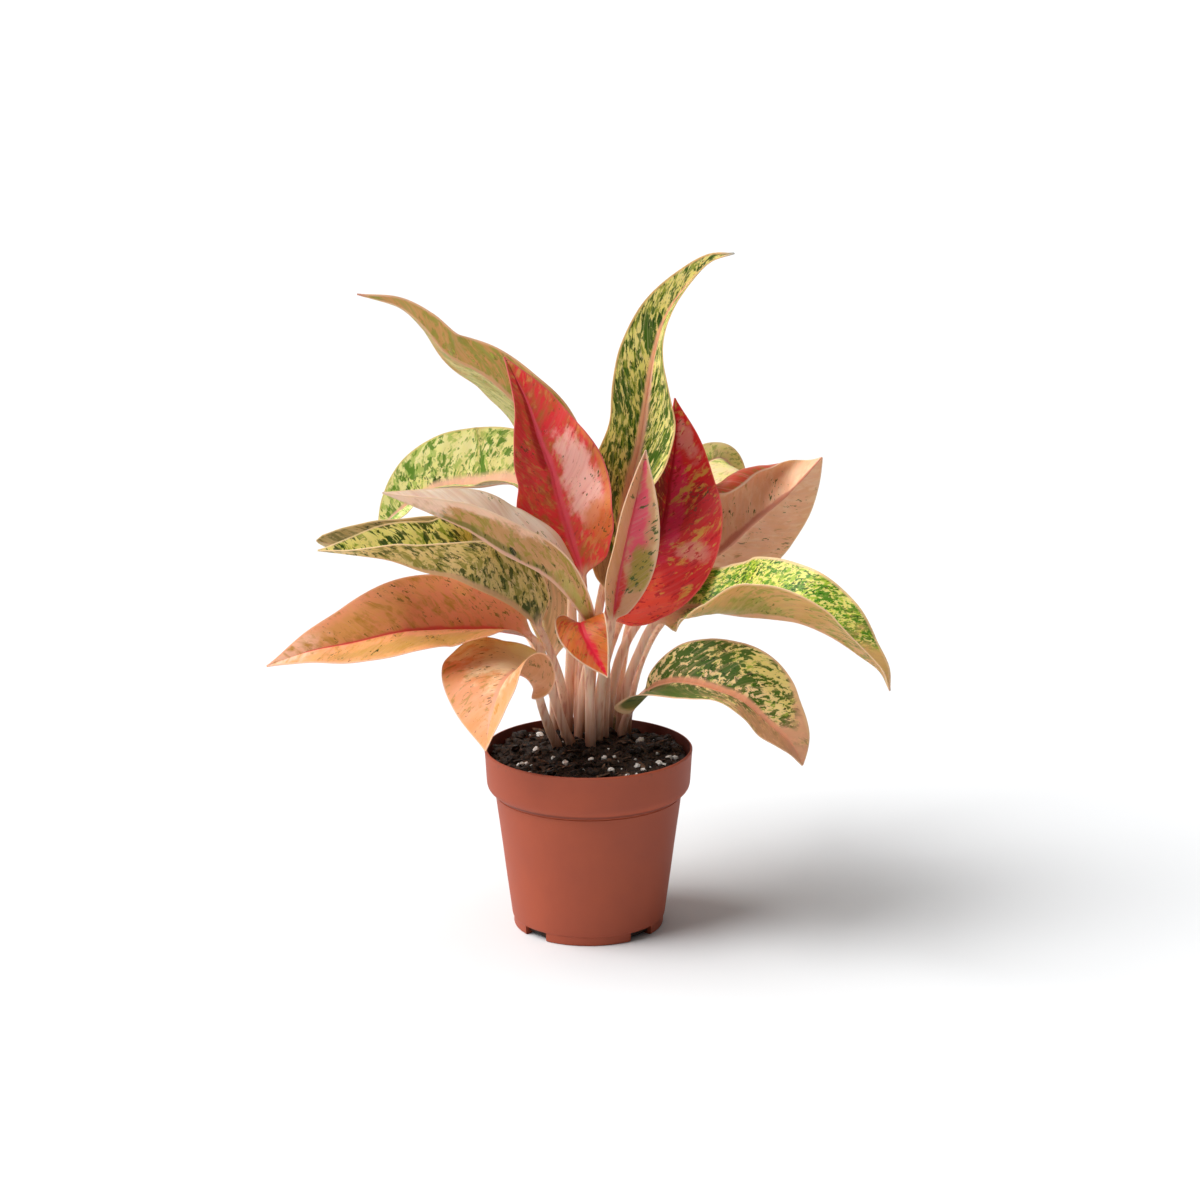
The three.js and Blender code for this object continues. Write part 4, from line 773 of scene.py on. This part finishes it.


# Living leaf tissue: a smooth waxy skin over translucent green, pink and red cells. The skin gives
# a broad soft gloss, and the thin blade lets some light through. Its colours lie in layers, on a
# ground of two tints. A flush has its place along and across the blade, its reach both ways and its
# strength; a few flushes are painted shade or a painted highlight. Flecks have their size in
# millimetres, how far they are drawn out along the side veins, the part that they cover, how they
# cluster and how soft they are. Streaks have their pitch in millimetres and their strength. A midrib
# has its width as a part of the half blade, a margin its width in millimetres, and a bristle, the
# dry tip, its start along the blade.
stalk_root_tint, stalk_neck_tint = "#F0B89A", "#FFD2B4"
looks = {
    "leaf_red_left": dict(
        vein="#D8706A", midrib=("#EC6070", 0.15), margin=("#D0585C", 0.8),
        upper=[("#E6363E", "#E84A48"), ("flecks", "#BC7034", 4.4, 2.2, 0.44, 0.25, 0.22),
               ("flecks", "#D69A54", 3.0, 2.4, 0.28, 0.35, 0.14),
               # Painted shade: the next two flushes darken the half turned from the light, most beside
               # the midrib
               ("flush", "#B81E2C", 0.62, -0.8, 0.4, 0.26, 0.45),
               ("flush", "#A80E1C", 0.74, -0.14, 0.36, 0.14, 0.8),
               # Painted highlight: a pale pink-white flush of sheen on the lit half
               ("flush", "#FFC8BA", 0.41, 0.54, 0.21, 0.36, 0.85),
               ("flush", "#D88040", 0.22, 0.7, 0.11, 0.32, 0.75),
               ("flush", "#DC8A4C", 0.4, 1.0, 0.26, 0.15, 0.75),
               ("flecks", "#B8423C", 1.8, 3.0, 0.18, 0.3, 0.1),
               ("flecks", "#44521C", 1.6, 1.8, 0.03, 0.6)],
        lower=[("#A84540", "#B8604C"), ("flecks", "#7A4A2A", 2.6, 2.0, 0.2, 0.3)]),
    "leaf_tall": dict(
        slant=20, vein="#D9D392", midrib=("#FFCBA8", 0.22), margin=("#E0B480", 1.1),
        bristle=("#A39C90", 0.965),
        upper=[("#F0DC92", "#E8DE80"), ("flecks", "#8F9A34", 2.8, 3.2, 0.44, 0.2, 0.06),
               ("flecks", "#37600E", 2.3, 3.2, 0.5, 0.35, 0.05),
               ("flecks", "#1A3E08", 1.5, 3.0, 0.24, 0.35), ("flecks", "#E8D99A", 1.4, 3.4, 0.14, 0.3),
               ("flush", "#B48A62", 0.03, 0.0, 0.12, 1.3, 0.85)],
        lower=[("#C0A46C", "#B79A62"), ("flecks", "#6B7434", 2.8, 2.6, 0.25, 0.3)]),
    "leaf_red_right": dict(
        vein="#D0605A", midrib=("#B81E2C", 0.12), margin=("#D85048", 0.8),
        # Painted shade: the dark brown-red flush #7E2C1E darkens the half that lies in shadow
        upper=[("#D01A26", "#C62622"), ("flush", "#7E2C1E", 0.5, -0.6, 0.5, 0.5, 0.8),
               ("flush", "#DC2C58", 0.6, 0.18, 0.26, 0.2, 0.8),
               ("flecks", "#CC9440", 3.2, 2.0, 0.34, 0.45, 0.12),
               ("flush", "#CFA894", 0.84, 0.45, 0.08, 0.4, 0.45),
               ("flush", "#D49E88", 0.4, 0.62, 0.05, 0.3, 0.55),
               ("flush", "#E8543C", 0.12, 0.45, 0.16, 0.6, 0.8),
               ("flecks", "#B01820", 2.0, 2.2, 0.3, 0.4, 0.08),
               ("flecks", "#35502A", 2.0, 2.4, 0.045, 0.5)],
        lower=[("#A44A3A", "#93402F"), ("flecks", "#6E4A28", 2.6, 2.0, 0.2, 0.3)]),
    "leaf_young": dict(
        vein="#E3AFA0", midrib=("#E05A64", 0.13), margin=("#E8BC9E", 0.9),
        upper=[("#DCA67E", "#D69E72"), ("flush", "#F05872", 0.66, 0.34, 0.38, 0.38, 0.95),
               ("flush", "#EBCB9C", 0.56, 1.02, 0.36, 0.24, 0.8),
               ("flush", "#A8963A", 0.34, 0.6, 0.14, 0.4, 0.92),
               ("flush", "#D82A2C", 0.14, 0.05, 0.24, 0.26, 0.92),
               ("flecks", "#3F5A1E", 2.2, 2.0, 0.15, 0.6)],
        lower=[("#C18A6A", "#B98262"), ("flecks", "#5A4A2A", 2.0, 2.0, 0.05, 0.3)]),
    "leaf_front_tip": dict(
        vein="#E0906A", midrib=("#E0263C", 0.22), margin=("#F0CCAE", 0.8),
        upper=[("#DC8236", "#D45A34"), ("flecks", "#97902E", 2.0, 2.2, 0.4, 0.2, 0.08),
               ("flecks", "#CC342C", 2.0, 2.2, 0.34, 0.2, 0.08),
               ("flush", "#E41838", 0.85, 0.0, 0.45, 0.36, 0.97)],
        lower=[("#C98A5C", "#BE7A52"), ("flecks", "#7A6A3A", 2.4, 2.0, 0.2, 0.3)]),
    "leaf_left_pale": dict(
        slant=30, vein="#DCB486", midrib=("#E8B89C", 0.1), margin=("#F0C8AE", 0.9),
        upper=[("#FFE6D4", "#FFDCC6"), ("streaks", "#DDA688", 3.0, 0.3),
               ("flecks", "#8A8038", 1.8, 2.6, 0.03, 0.5)],
        lower=[("#D2A06E", "#C4965C"), ("flecks", "#A89440", 2.8, 2.8, 0.42, 0.3, 0.08),
               ("flush", "#7C7630", 0.66, -0.1, 0.32, 0.1, 0.8),
               ("flush", "#C6B868", 0.16, -0.3, 0.14, 0.26, 0.7),
               ("flecks", "#565420", 2.0, 3.0, 0.14, 0.4, 0.05),
               ("flecks", "#26330F", 1.8, 2.6, 0.06, 0.6),
               ("flush", "#FFD0B6", 0.76, -0.95, 0.36, 0.3, 0.92),
               ("flush", "#FFD8C2", 1.0, -0.5, 0.24, 1.2, 0.9)]),
    "leaf_left_high": dict(
        slant=28, vein="#D9B487", midrib=("#D8A880", 0.12), margin=("#E4B494", 1.1),
        bristle=("#C98B80", 0.97),
        upper=[("#CDC67C", "#C3B468"), ("flecks", "#5E7A30", 2.4, 2.4, 0.34, 0.3)],
        lower=[("#D29C62", "#C49A56"), ("flecks", "#A49A44", 2.8, 2.4, 0.4, 0.35, 0.08),
               ("flush", "#DAD68A", 0.3, 0.6, 0.4, 0.62, 0.94),
               ("flecks", "#3A561A", 2.0, 2.2, 0.26, 0.5), ("flecks", "#B8BC50", 2.0, 2.2, 0.2, 0.5),
               ("streaks", "#9AA24C", 2.0, 0.45)]),
    "leaf_left_mottled": dict(
        slant=104, vein="#E0D896", midrib=("#F2C8B0", 0.3), margin=("#DCC88C", 1.0),
        upper=[("#F0E6AC", "#E6E294"), ("flecks", "#B2C468", 2.8, 2.2, 0.44, 0.2, 0.07),
               ("flecks", "#5E8A2C", 2.2, 2.4, 0.4, 0.45, 0.05),
               ("flecks", "#2F5614", 1.5, 2.4, 0.16, 0.5)],
        lower=[("#C4B57C", "#B7A468"), ("flecks", "#6E7A38", 2.8, 2.0, 0.28, 0.3)]),
    "leaf_left_big": dict(
        slant=46, vein="#D3C080", midrib=("#D9AF80", 0.12), margin=("#E6C49A", 1.0),
        upper=[("#EEDC8A", "#E0DA78"), ("flecks", "#93A038", 2.8, 2.4, 0.42, 0.2, 0.06),
               ("flecks", "#244508", 2.2, 2.6, 0.46, 0.4)],
        lower=[("#DCC488", "#CEBA6C"), ("flecks", "#8A8638", 3.0, 2.2, 0.5, 0.2, 0.09),
               ("flush", "#B4BC64", 0.22, 0.6, 0.16, 0.6, 0.45),
               ("flush", "#46581C", 0.03, 0.6, 0.12, 0.9, 0.85),
               ("flecks", "#3C4A10", 2.6, 2.2, 0.36, 0.3, 0.06),
               ("flecks", "#243306", 1.6, 2.2, 0.14, 0.4)]),
    "leaf_left_olive": dict(
        slant=30, vein="#C3B57E", midrib=("#C2A070", 0.12), margin=("#CDB384", 1.0),
        upper=[("#B6A866", "#A99A58"), ("flecks", "#5E6A2E", 2.6, 2.6, 0.36, 0.3)],
        lower=[("#BCA468", "#AE9656"), ("flecks", "#807438", 2.4, 2.8, 0.4, 0.3, 0.08),
               ("flush", "#CF9C74", 0.1, 0.0, 0.34, 1.4, 0.8),
               ("flecks", "#38400F", 1.8, 2.8, 0.18, 0.4), ("streaks", "#6B6A30", 1.8, 0.4)]),
    "leaf_right_arch": dict(
        slant=46, vein="#DCD070", midrib=("#E4B088", 0.14), margin=("#F0C69C", 1.5),
        bristle=("#D8A898", 0.98),
        upper=[("#F0E872", "#F0DE8C"), ("flecks", "#A0C034", 2.2, 1.6, 0.46, 0.2, 0.06),
               ("flecks", "#4C8C20", 1.8, 1.7, 0.5, 0.35), ("flecks", "#1E5210", 1.4, 1.6, 0.28, 0.45),
               ("flecks", "#F2E894", 1.2, 1.6, 0.14, 0.3),
               ("flush", "#E4B878", 1.0, 0.0, 0.24, 1.4, 0.95),
               ("flush", "#E8A880", 0.02, 0.0, 0.16, 1.4, 0.9)],
        lower=[("#DAA672", "#CC9E5C"), ("flecks", "#A69A48", 2.8, 2.4, 0.4, 0.3, 0.09),
               ("flush", "#96923C", 0.36, 0.0, 0.26, 0.8, 0.6),
               ("flecks", "#5E6E24", 1.8, 2.4, 0.14, 0.5)]),
    "leaf_right_low": dict(
        slant=56, vein="#E0BC88", midrib=("#EAA884", 0.2), margin=("#E6B896", 1.0),
        upper=[("#FAD4A2", "#F2DA92"), ("flush", "#CFCA54", 0.62, -0.7, 0.34, 0.3, 0.45),
               ("flecks", "#93A83A", 2.6, 1.8, 0.34, 0.3, 0.06),
               ("flecks", "#35600E", 2.5, 1.7, 0.54, 0.4, 0.05),
               ("flecks", "#14340A", 1.6, 1.7, 0.2, 0.45),
               ("flush", "#E8AE88", 0.98, -0.2, 0.2, 1.2, 0.95),
               ("flush", "#EABC90", 0.84, -1.04, 0.36, 0.14, 0.85),
               ("flush", "#4A6426", 0.2, 0.8, 0.32, 0.7, 0.95),
               ("flush", "#D89A72", 0.86, 0.7, 0.34, 0.62, 0.85)],
        lower=[("#5E6A38", "#6E7440"), ("flecks", "#465226", 2.6, 2.0, 0.3, 0.3)]),
    "leaf_right_peach": dict(
        vein="#E4B498", midrib=("#D4846A", 0.08), margin=("#F6C8A8", 1.0),
        upper=[("#D8503C", "#C4603A"), ("flecks", "#8A8238", 2.4, 2.2, 0.34, 0.3, 0.08)],
        lower=[("#F6BC96", "#EEB286"), ("flecks", "#FACCA4", 4.0, 2.4, 0.4, 0.2, 0.2),
               ("flecks", "#C08E5A", 2.6, 3.0, 0.14, 0.4, 0.08),
               ("flecks", "#5A5A26", 1.4, 3.0, 0.04, 0.6)]),
    "leaf_right_rear": dict(
        vein="#E4DCA2", midrib=("#E4BE98", 0.14), margin=("#E8CC9E", 1.0),
        upper=[("#E8DC92", "#DAD67C"), ("flecks", "#9AAA4C", 1.9, 1.8, 0.38, 0.3, 0.06),
               ("flush", "#EFC8A0", 0.25, 0.0, 0.4, 1.3, 0.75)],
        lower=[("#D8C884", "#CCB874"), ("flecks", "#8A9440", 2.2, 2.0, 0.28, 0.3)]),
    "leaf_left_low": dict(
        vein="#E4A880", midrib=("#EBA888", 0.11), margin=("#EFB494", 1.0),
        upper=[("#F2A478", "#E89A62"), ("flush", "#CC9C48", 0.25, 0.3, 0.3, 0.5, 0.4),
               ("flecks", "#BE8C46", 3.0, 2.4, 0.34, 0.3, 0.1),
               # Painted light: a pale flush over the blade's foot, lightening the shade cast there by
               # the leaf above
               ("flush", "#FFDAB0", 0.1, 0.0, 0.42, 1.4, 0.9),
               ("flecks", "#8A5E2C", 1.6, 2.6, 0.08, 0.5, 0.05)],
        lower=[("#D29468", "#C88A5C"), ("flecks", "#8A6A3A", 1.8, 2.6, 0.16, 0.5, 0.05)]),
    "leaf_left_salmon": dict(
        vein="#E4A480", midrib=("#E46A5C", 0.1), margin=("#F0AC8C", 1.0),
        upper=[("#EE9E78", "#E6A268"), ("flush", "#AA8E34", 0.5, -0.62, 0.34, 0.34, 0.6),
               ("flush", "#CC9C44", 0.66, 0.4, 0.26, 0.34, 0.5),
               ("flush", "#E88E6C", 0.25, 0.3, 0.34, 0.5, 0.55),
               ("flush", "#F6C2A4", 0.98, 0.2, 0.18, 1.2, 0.8),
               ("flecks", "#BC8A3C", 3.6, 2.4, 0.36, 0.4, 0.2),
               ("flecks", "#86702C", 1.6, 2.4, 0.1, 0.5, 0.08),
               ("flecks", "#34400F", 1.5, 2.0, 0.04, 0.6)],
        lower=[("#C88A60", "#C08054"), ("flecks", "#6A5A2E", 1.8, 2.0, 0.06, 0.5)]),
    "leaf_rear_tall": dict(
        vein="#D9D392", midrib=("#DDA483", 0.2), margin=("#DDB68E", 1.1),
        upper=[("#D9C982", "#CFCB70"), ("flecks", "#7E9238", 3.2, 2.2, 0.42, 0.2, 0.06),
               ("flecks", "#2E4C1C", 2.6, 2.4, 0.4, 0.35)],
        lower=[("#C3A878", "#B59A62"), ("flecks", "#7A7E3C", 2.8, 2.2, 0.28, 0.3)]),
    "leaf_rear_right": dict(
        vein="#D9A07E", midrib=("#D66E60", 0.16), margin=("#DFA488", 1.0),
        upper=[("#CF8660", "#C98E58"), ("flecks", "#A98A44", 2.8, 2.2, 0.26, 0.4, 0.07),
               ("flecks", "#46562A", 1.8, 2.0, 0.08, 0.5)],
        lower=[("#C98F70", "#BC8460"), ("flecks", "#7A6A3A", 1.9, 2.2, 0.08, 0.5)]),
    "leaf_rear_low_left": dict(
        vein="#DDD69A", midrib=("#DFA68C", 0.22), margin=("#DFB892", 1.1),
        upper=[("#DFC98E", "#D0CA78"), ("flecks", "#93A448", 3.0, 2.0, 0.4, 0.2, 0.06),
               ("flecks", "#345420", 2.4, 2.2, 0.36, 0.4)],
        lower=[("#C3A878", "#B59A62"), ("flecks", "#6E7434", 2.8, 2.2, 0.26, 0.3)]),
    "leaf_rear_low_right": dict(
        vein="#E0C49A", midrib=("#DD9C86", 0.24), margin=("#DDB094", 1.1),
        upper=[("#DFBA90", "#D5C47E"), ("flecks", "#8FA244", 3.0, 2.0, 0.36, 0.2, 0.06),
               ("flecks", "#2E4A1C", 2.5, 2.2, 0.34, 0.45)],
        lower=[("#C7A07C", "#B9946A"), ("flecks", "#6E7434", 2.8, 2.2, 0.24, 0.3)]),
}


def leaf_finish(name, look):
    """The living skin of one leaf, with its own ground, flushes, flecks, midrib and margin."""
    finish, tree, skin = new_finish("living_leaf_" + name[5:])
    lie = add(tree, "Attribute", {}, out=1, attribute_name="lie")
    place = add(tree, "Attribute", {}, out=1, attribute_name="place")
    under = add(tree, "Attribute", {}, out=2, attribute_name="under")
    blade = add(tree, "Attribute", {}, out=2, attribute_name="blade")
    split = add(tree, "SeparateXYZ", {0: place}, out=0)
    along, across, from_edge = split.node.outputs[:3]
    drift = add(tree, "Mapping", {"Vector": lie, "Scale": (0.11, 0.07, 1.0)})
    wander = add(tree, "TexNoise", {"Vector": drift, "Scale": 1.0, "Detail": 5.0, "Roughness": 0.62})
    faces = []
    for side in ("upper", "lower"):
        layers = look[side]
        first, second = layers[0]
        amount = add(tree, "MapRange", {"Value": wander, "From Min": 0.36, "From Max": 0.64})
        paint = add(tree, "Mix", {0: amount, 6: colour(first), 7: colour(second)},
                    out=2, data_type="RGBA")
        for kind, tint, *sizes in layers[1:]:
            if kind == "flush":
                t, u, t_reach, u_reach, strength = sizes
                shifted = add(tree, "VectorMath", {
                    0: place, 1: (t, u, 0.0)}, operation="SUBTRACT")
                scaled = add(tree, "VectorMath", {
                    0: shifted, 1: (1 / t_reach, 1 / u_reach, 0.0)}, operation="MULTIPLY")
                away = add(tree, "VectorMath", {0: scaled}, out=1, operation="LENGTH")
                ragged = add(tree, "Math", {0: wander, 1: 2.4, 2: -1.2}, operation="MULTIPLY_ADD")
                away = add(tree, "Math", {0: away, 1: ragged}, operation="ADD")
                mask = add(tree, "MapRange", {
                    "Value": away, "From Min": 0.55, "From Max": 1.20,
                    "To Min": strength, "To Max": 0.0}, interpolation_type="SMOOTHSTEP")
            elif kind == "flecks":
                size, stretch, cover, clusters, blur = (*sizes, 0.034)[:5]
                drawn = add(tree, "Mapping", {
                    "Vector": lie, "Scale": (1 / size, 1 / (size * stretch), 1.0),
                    "Location": (0.0, 0.0, size * 3.1)})
                fleck = add(tree, "TexNoise", {
                    "Vector": drawn, "Scale": 1.0, "Detail": 4.0, "Roughness": 0.60,
                    "Distortion": 0.45})
                broad = add(tree, "Mapping", {
                    "Vector": lie, "Scale": (0.055, 0.045, 1.0),
                    "Location": (5.0, 0.0, size * 7.7)})
                group = add(tree, "TexNoise", {"Vector": broad, "Scale": 1.0, "Detail": 2.0})
                fleck = add(tree, "Math", {0: group, 1: clusters, 2: fleck},
                            operation="MULTIPLY_ADD")
                edge = 0.5 + 0.5 * clusters + (0.5 - cover) * 0.42
                mask = add(tree, "MapRange", {
                    "Value": fleck, "From Min": edge - 0.35 * blur, "From Max": edge + 0.65 * blur,
                    "To Min": 0.0, "To Max": 0.95})
            elif kind == "streaks":
                pitch, strength = sizes
                drawn = add(tree, "Mapping", {
                    "Vector": lie, "Scale": (1 / pitch, 0.012, 1.0)})
                streak = add(tree, "TexNoise", {"Vector": drawn, "Scale": 1.0, "Detail": 3.0})
                mask = add(tree, "MapRange", {
                    "Value": streak, "From Min": 0.47, "From Max": 0.60,
                    "To Min": 0.0, "To Max": strength})
            paint = add(tree, "Mix", {0: mask, 6: paint, 7: colour(tint)},
                        out=2, data_type="RGBA")
        faces.append(paint)
    # Fine side veins, a shade paler than the skin between them
    fine = add(tree, "Mapping", {"Vector": lie, "Scale": (0.85, 0.02, 1.0)})
    hair_veins = add(tree, "TexNoise", {"Vector": fine, "Scale": 1.0, "Detail": 2.0})
    veined = add(tree, "MapRange", {"Value": hair_veins, "From Min": 0.50, "From Max": 0.66,
                                    "To Min": 0.0, "To Max": 0.22})
    paint = add(tree, "Mix", {0: under, 6: faces[0], 7: faces[1]}, out=2, data_type="RGBA")
    paint = add(tree, "Mix", {0: veined, 6: paint, 7: colour(look["vein"])},
                out=2, data_type="RGBA")
    # Midrib: a band that narrows to the tip, with a ragged edge
    rib_tint, rib_width = look["midrib"]
    across = add(tree, "Math", {0: across}, operation="ABSOLUTE")
    ragged = add(tree, "Math", {0: wander, 1: 0.10, 2: -0.05}, operation="MULTIPLY_ADD")
    across = add(tree, "Math", {0: across, 1: ragged}, operation="ADD")
    reach = add(tree, "Math", {0: along, 1: -0.55 * rib_width, 2: rib_width},
                operation="MULTIPLY_ADD")
    inner = add(tree, "Math", {0: reach, 1: 0.55}, operation="MULTIPLY")
    rib = add(tree, "MapRange", {"Value": across, "From Min": inner, "From Max": reach,
                                 "To Min": 0.92, "To Max": 0.0})
    paint = add(tree, "Mix", {0: rib, 6: paint, 7: colour(rib_tint)}, out=2, data_type="RGBA")
    # Margin: a pale translucent thread along the edge
    margin_tint, margin_width = look["margin"]
    rim = add(tree, "MapRange", {"Value": from_edge, "From Min": margin_width * 0.5,
                                 "From Max": margin_width * 1.2, "To Min": 0.9, "To Max": 0.0})
    paint = add(tree, "Mix", {0: rim, 6: paint, 7: colour(margin_tint)}, out=2, data_type="RGBA")
    # Stalk: peach paling to the neck, pale and red streaks, soil stain and painted shade at its root
    site = add(tree, "TexCoord", {}, out=3)
    drawn = add(tree, "Mapping", {"Vector": site, "Scale": (620.0, 620.0, 28.0)})
    streak = add(tree, "TexNoise", {"Vector": drawn, "Scale": 1.0, "Detail": 3.0})
    above = add(tree, "SeparateXYZ", {0: site}, out=2)
    level = add(tree, "MapRange", {"Value": above, "From Min": 0.085, "From Max": 0.135})
    streaked = add(tree, "Math", {0: streak, 1: 1.6, 2: -0.8}, operation="MULTIPLY_ADD")
    level = add(tree, "Math", {0: level, 1: streaked}, operation="ADD", use_clamp=True)
    stem = add(tree, "Mix", {0: level, 6: colour(stalk_root_tint), 7: colour(stalk_neck_tint)},
               out=2, data_type="RGBA")
    pale = add(tree, "MapRange", {"Value": streak, "From Min": 0.52, "From Max": 0.66,
                                  "To Min": 0.0, "To Max": 0.60})
    stem = add(tree, "Mix", {0: pale, 6: stem, 7: colour("#FCDCC4")}, out=2, data_type="RGBA")
    flushed = add(tree, "MapRange", {"Value": streak, "From Min": 0.46, "From Max": 0.34,
                                     "To Min": 0.0, "To Max": 0.50})
    stem = add(tree, "Mix", {0: flushed, 6: stem, 7: colour("#CC7C66")}, out=2, data_type="RGBA")
    # Soil stain and painted shade: browner towards the root, where the stalks meet the mix
    soil_stain_and_shade = add(tree, "MapRange", {"Value": above, "From Min": 0.122, "From Max": 0.088,
                                    "To Min": 0.0, "To Max": 0.90})
    stem = add(tree, "Mix", {0: soil_stain_and_shade, 6: stem, 7: colour("#5A3424")}, out=2, data_type="RGBA")
    paint = add(tree, "Mix", {0: blade, 6: stem, 7: paint}, out=2, data_type="RGBA")
    if "bristle" in look:
        bristle_tint, start = look["bristle"]
        dry = add(tree, "MapRange", {"Value": along, "From Min": start, "From Max": start + 0.03})
        paint = add(tree, "Mix", {0: dry, 6: paint, 7: colour(bristle_tint)},
                    out=2, data_type="RGBA")
    gloss = add(tree, "MapRange", {"Value": wander, "From Min": 0.3, "From Max": 0.7,
                                   "To Min": 0.33, "To Max": 0.46})
    gloss = add(tree, "Math", {0: under, 1: 0.12, 2: gloss}, operation="MULTIPLY_ADD")
    relief = add(tree, "Bump", {"Strength": 0.35, "Distance": 0.00025, "Height": hair_veins})
    fill(skin, {"Base Color": paint, "Roughness": gloss, "Normal": relief, "IOR": 1.45,
                "Specular IOR Level": 0.26, "Subsurface Weight": 0.40,
                "Subsurface Scale": 0.0018, "Subsurface Radius": (1.0, 0.7, 0.3)})
    return finish


for number, (node_name, leaf) in enumerate(leaves.items()):
    look = looks[node_name]
    slant = math.radians(look.get("slant", vein_slant))
    grown = grown_leaf(node_name + "_grown", leaf, number, slant)
    grown.data.materials.clear()
    grown.data.materials.append(leaf_finish(node_name, look))
    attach(grown, "root")
    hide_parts(node_name)

# Floor, light and camera
# A plain pale studio floor that runs far back, one broad soft key light high on the left, and a
# surround that lights more from behind and is itself seen white. The camera stands where the
# photograph was taken from.
clear_selection()
bpy.ops.mesh.primitive_plane_add(size=40, location=(0, 12, -0.00005))
floor = bpy.context.object
floor.name = "studio_floor"
bpy.ops.object.transform_apply(location=True)
floor_finish, tree, skin = new_finish("studio_paper_matt_white")
fill(skin, {"Base Color": colour("#E6E7E8"), "Roughness": 0.9, "Specular IOR Level": 0.1})
floor.data.materials.append(floor_finish)

brightest_way = (-0.6, 0.75, 0.28)
dimmest, brightest = 0.04, 0.53
surround = bpy.data.worlds.new("studio_surround")
bpy.context.scene.world = surround
surround.use_nodes = True
tree = surround.node_tree
toward = add(tree, "VectorMath", {0: add(tree, "TexCoord", {}, out=0), 1: brightest_way},
             out=1, operation="DOT_PRODUCT")
lit = add(tree, "MapRange", {"Value": toward, "From Min": -0.9, "From Max": 0.9,
                             "To Min": dimmest, "To Max": brightest})
seen = add(tree, "LightPath", {}, out=0)
strength = add(tree, "Mix", {0: seen, 2: lit, 3: 1.0}, out=0)
fill(tree.nodes["Background"], {"Color": (1.0, 1.0, 1.0, 1.0), "Strength": strength})

clear_selection()
key_height = math.radians(51)
key_side = math.radians(-79)
bpy.ops.object.light_add(type="SUN", rotation=(math.pi / 2 - key_height, 0, key_side))
key = bpy.context.object
key.name = "key_light"
key.data.energy = 4.1
key.data.angle = math.radians(50)

camera_place = (0.00597, -1.55337, 0.57932)
camera_tilt = math.radians(75.38)
bpy.ops.object.camera_add(location=camera_place, rotation=(camera_tilt, 0, 0))
camera = bpy.context.object
camera.data.sensor_width = 36
camera.data.lens = 93.9
camera.data.clip_end = 100
bpy.context.scene.camera = camera
bpy.context.scene.view_settings.view_transform = "Standard"
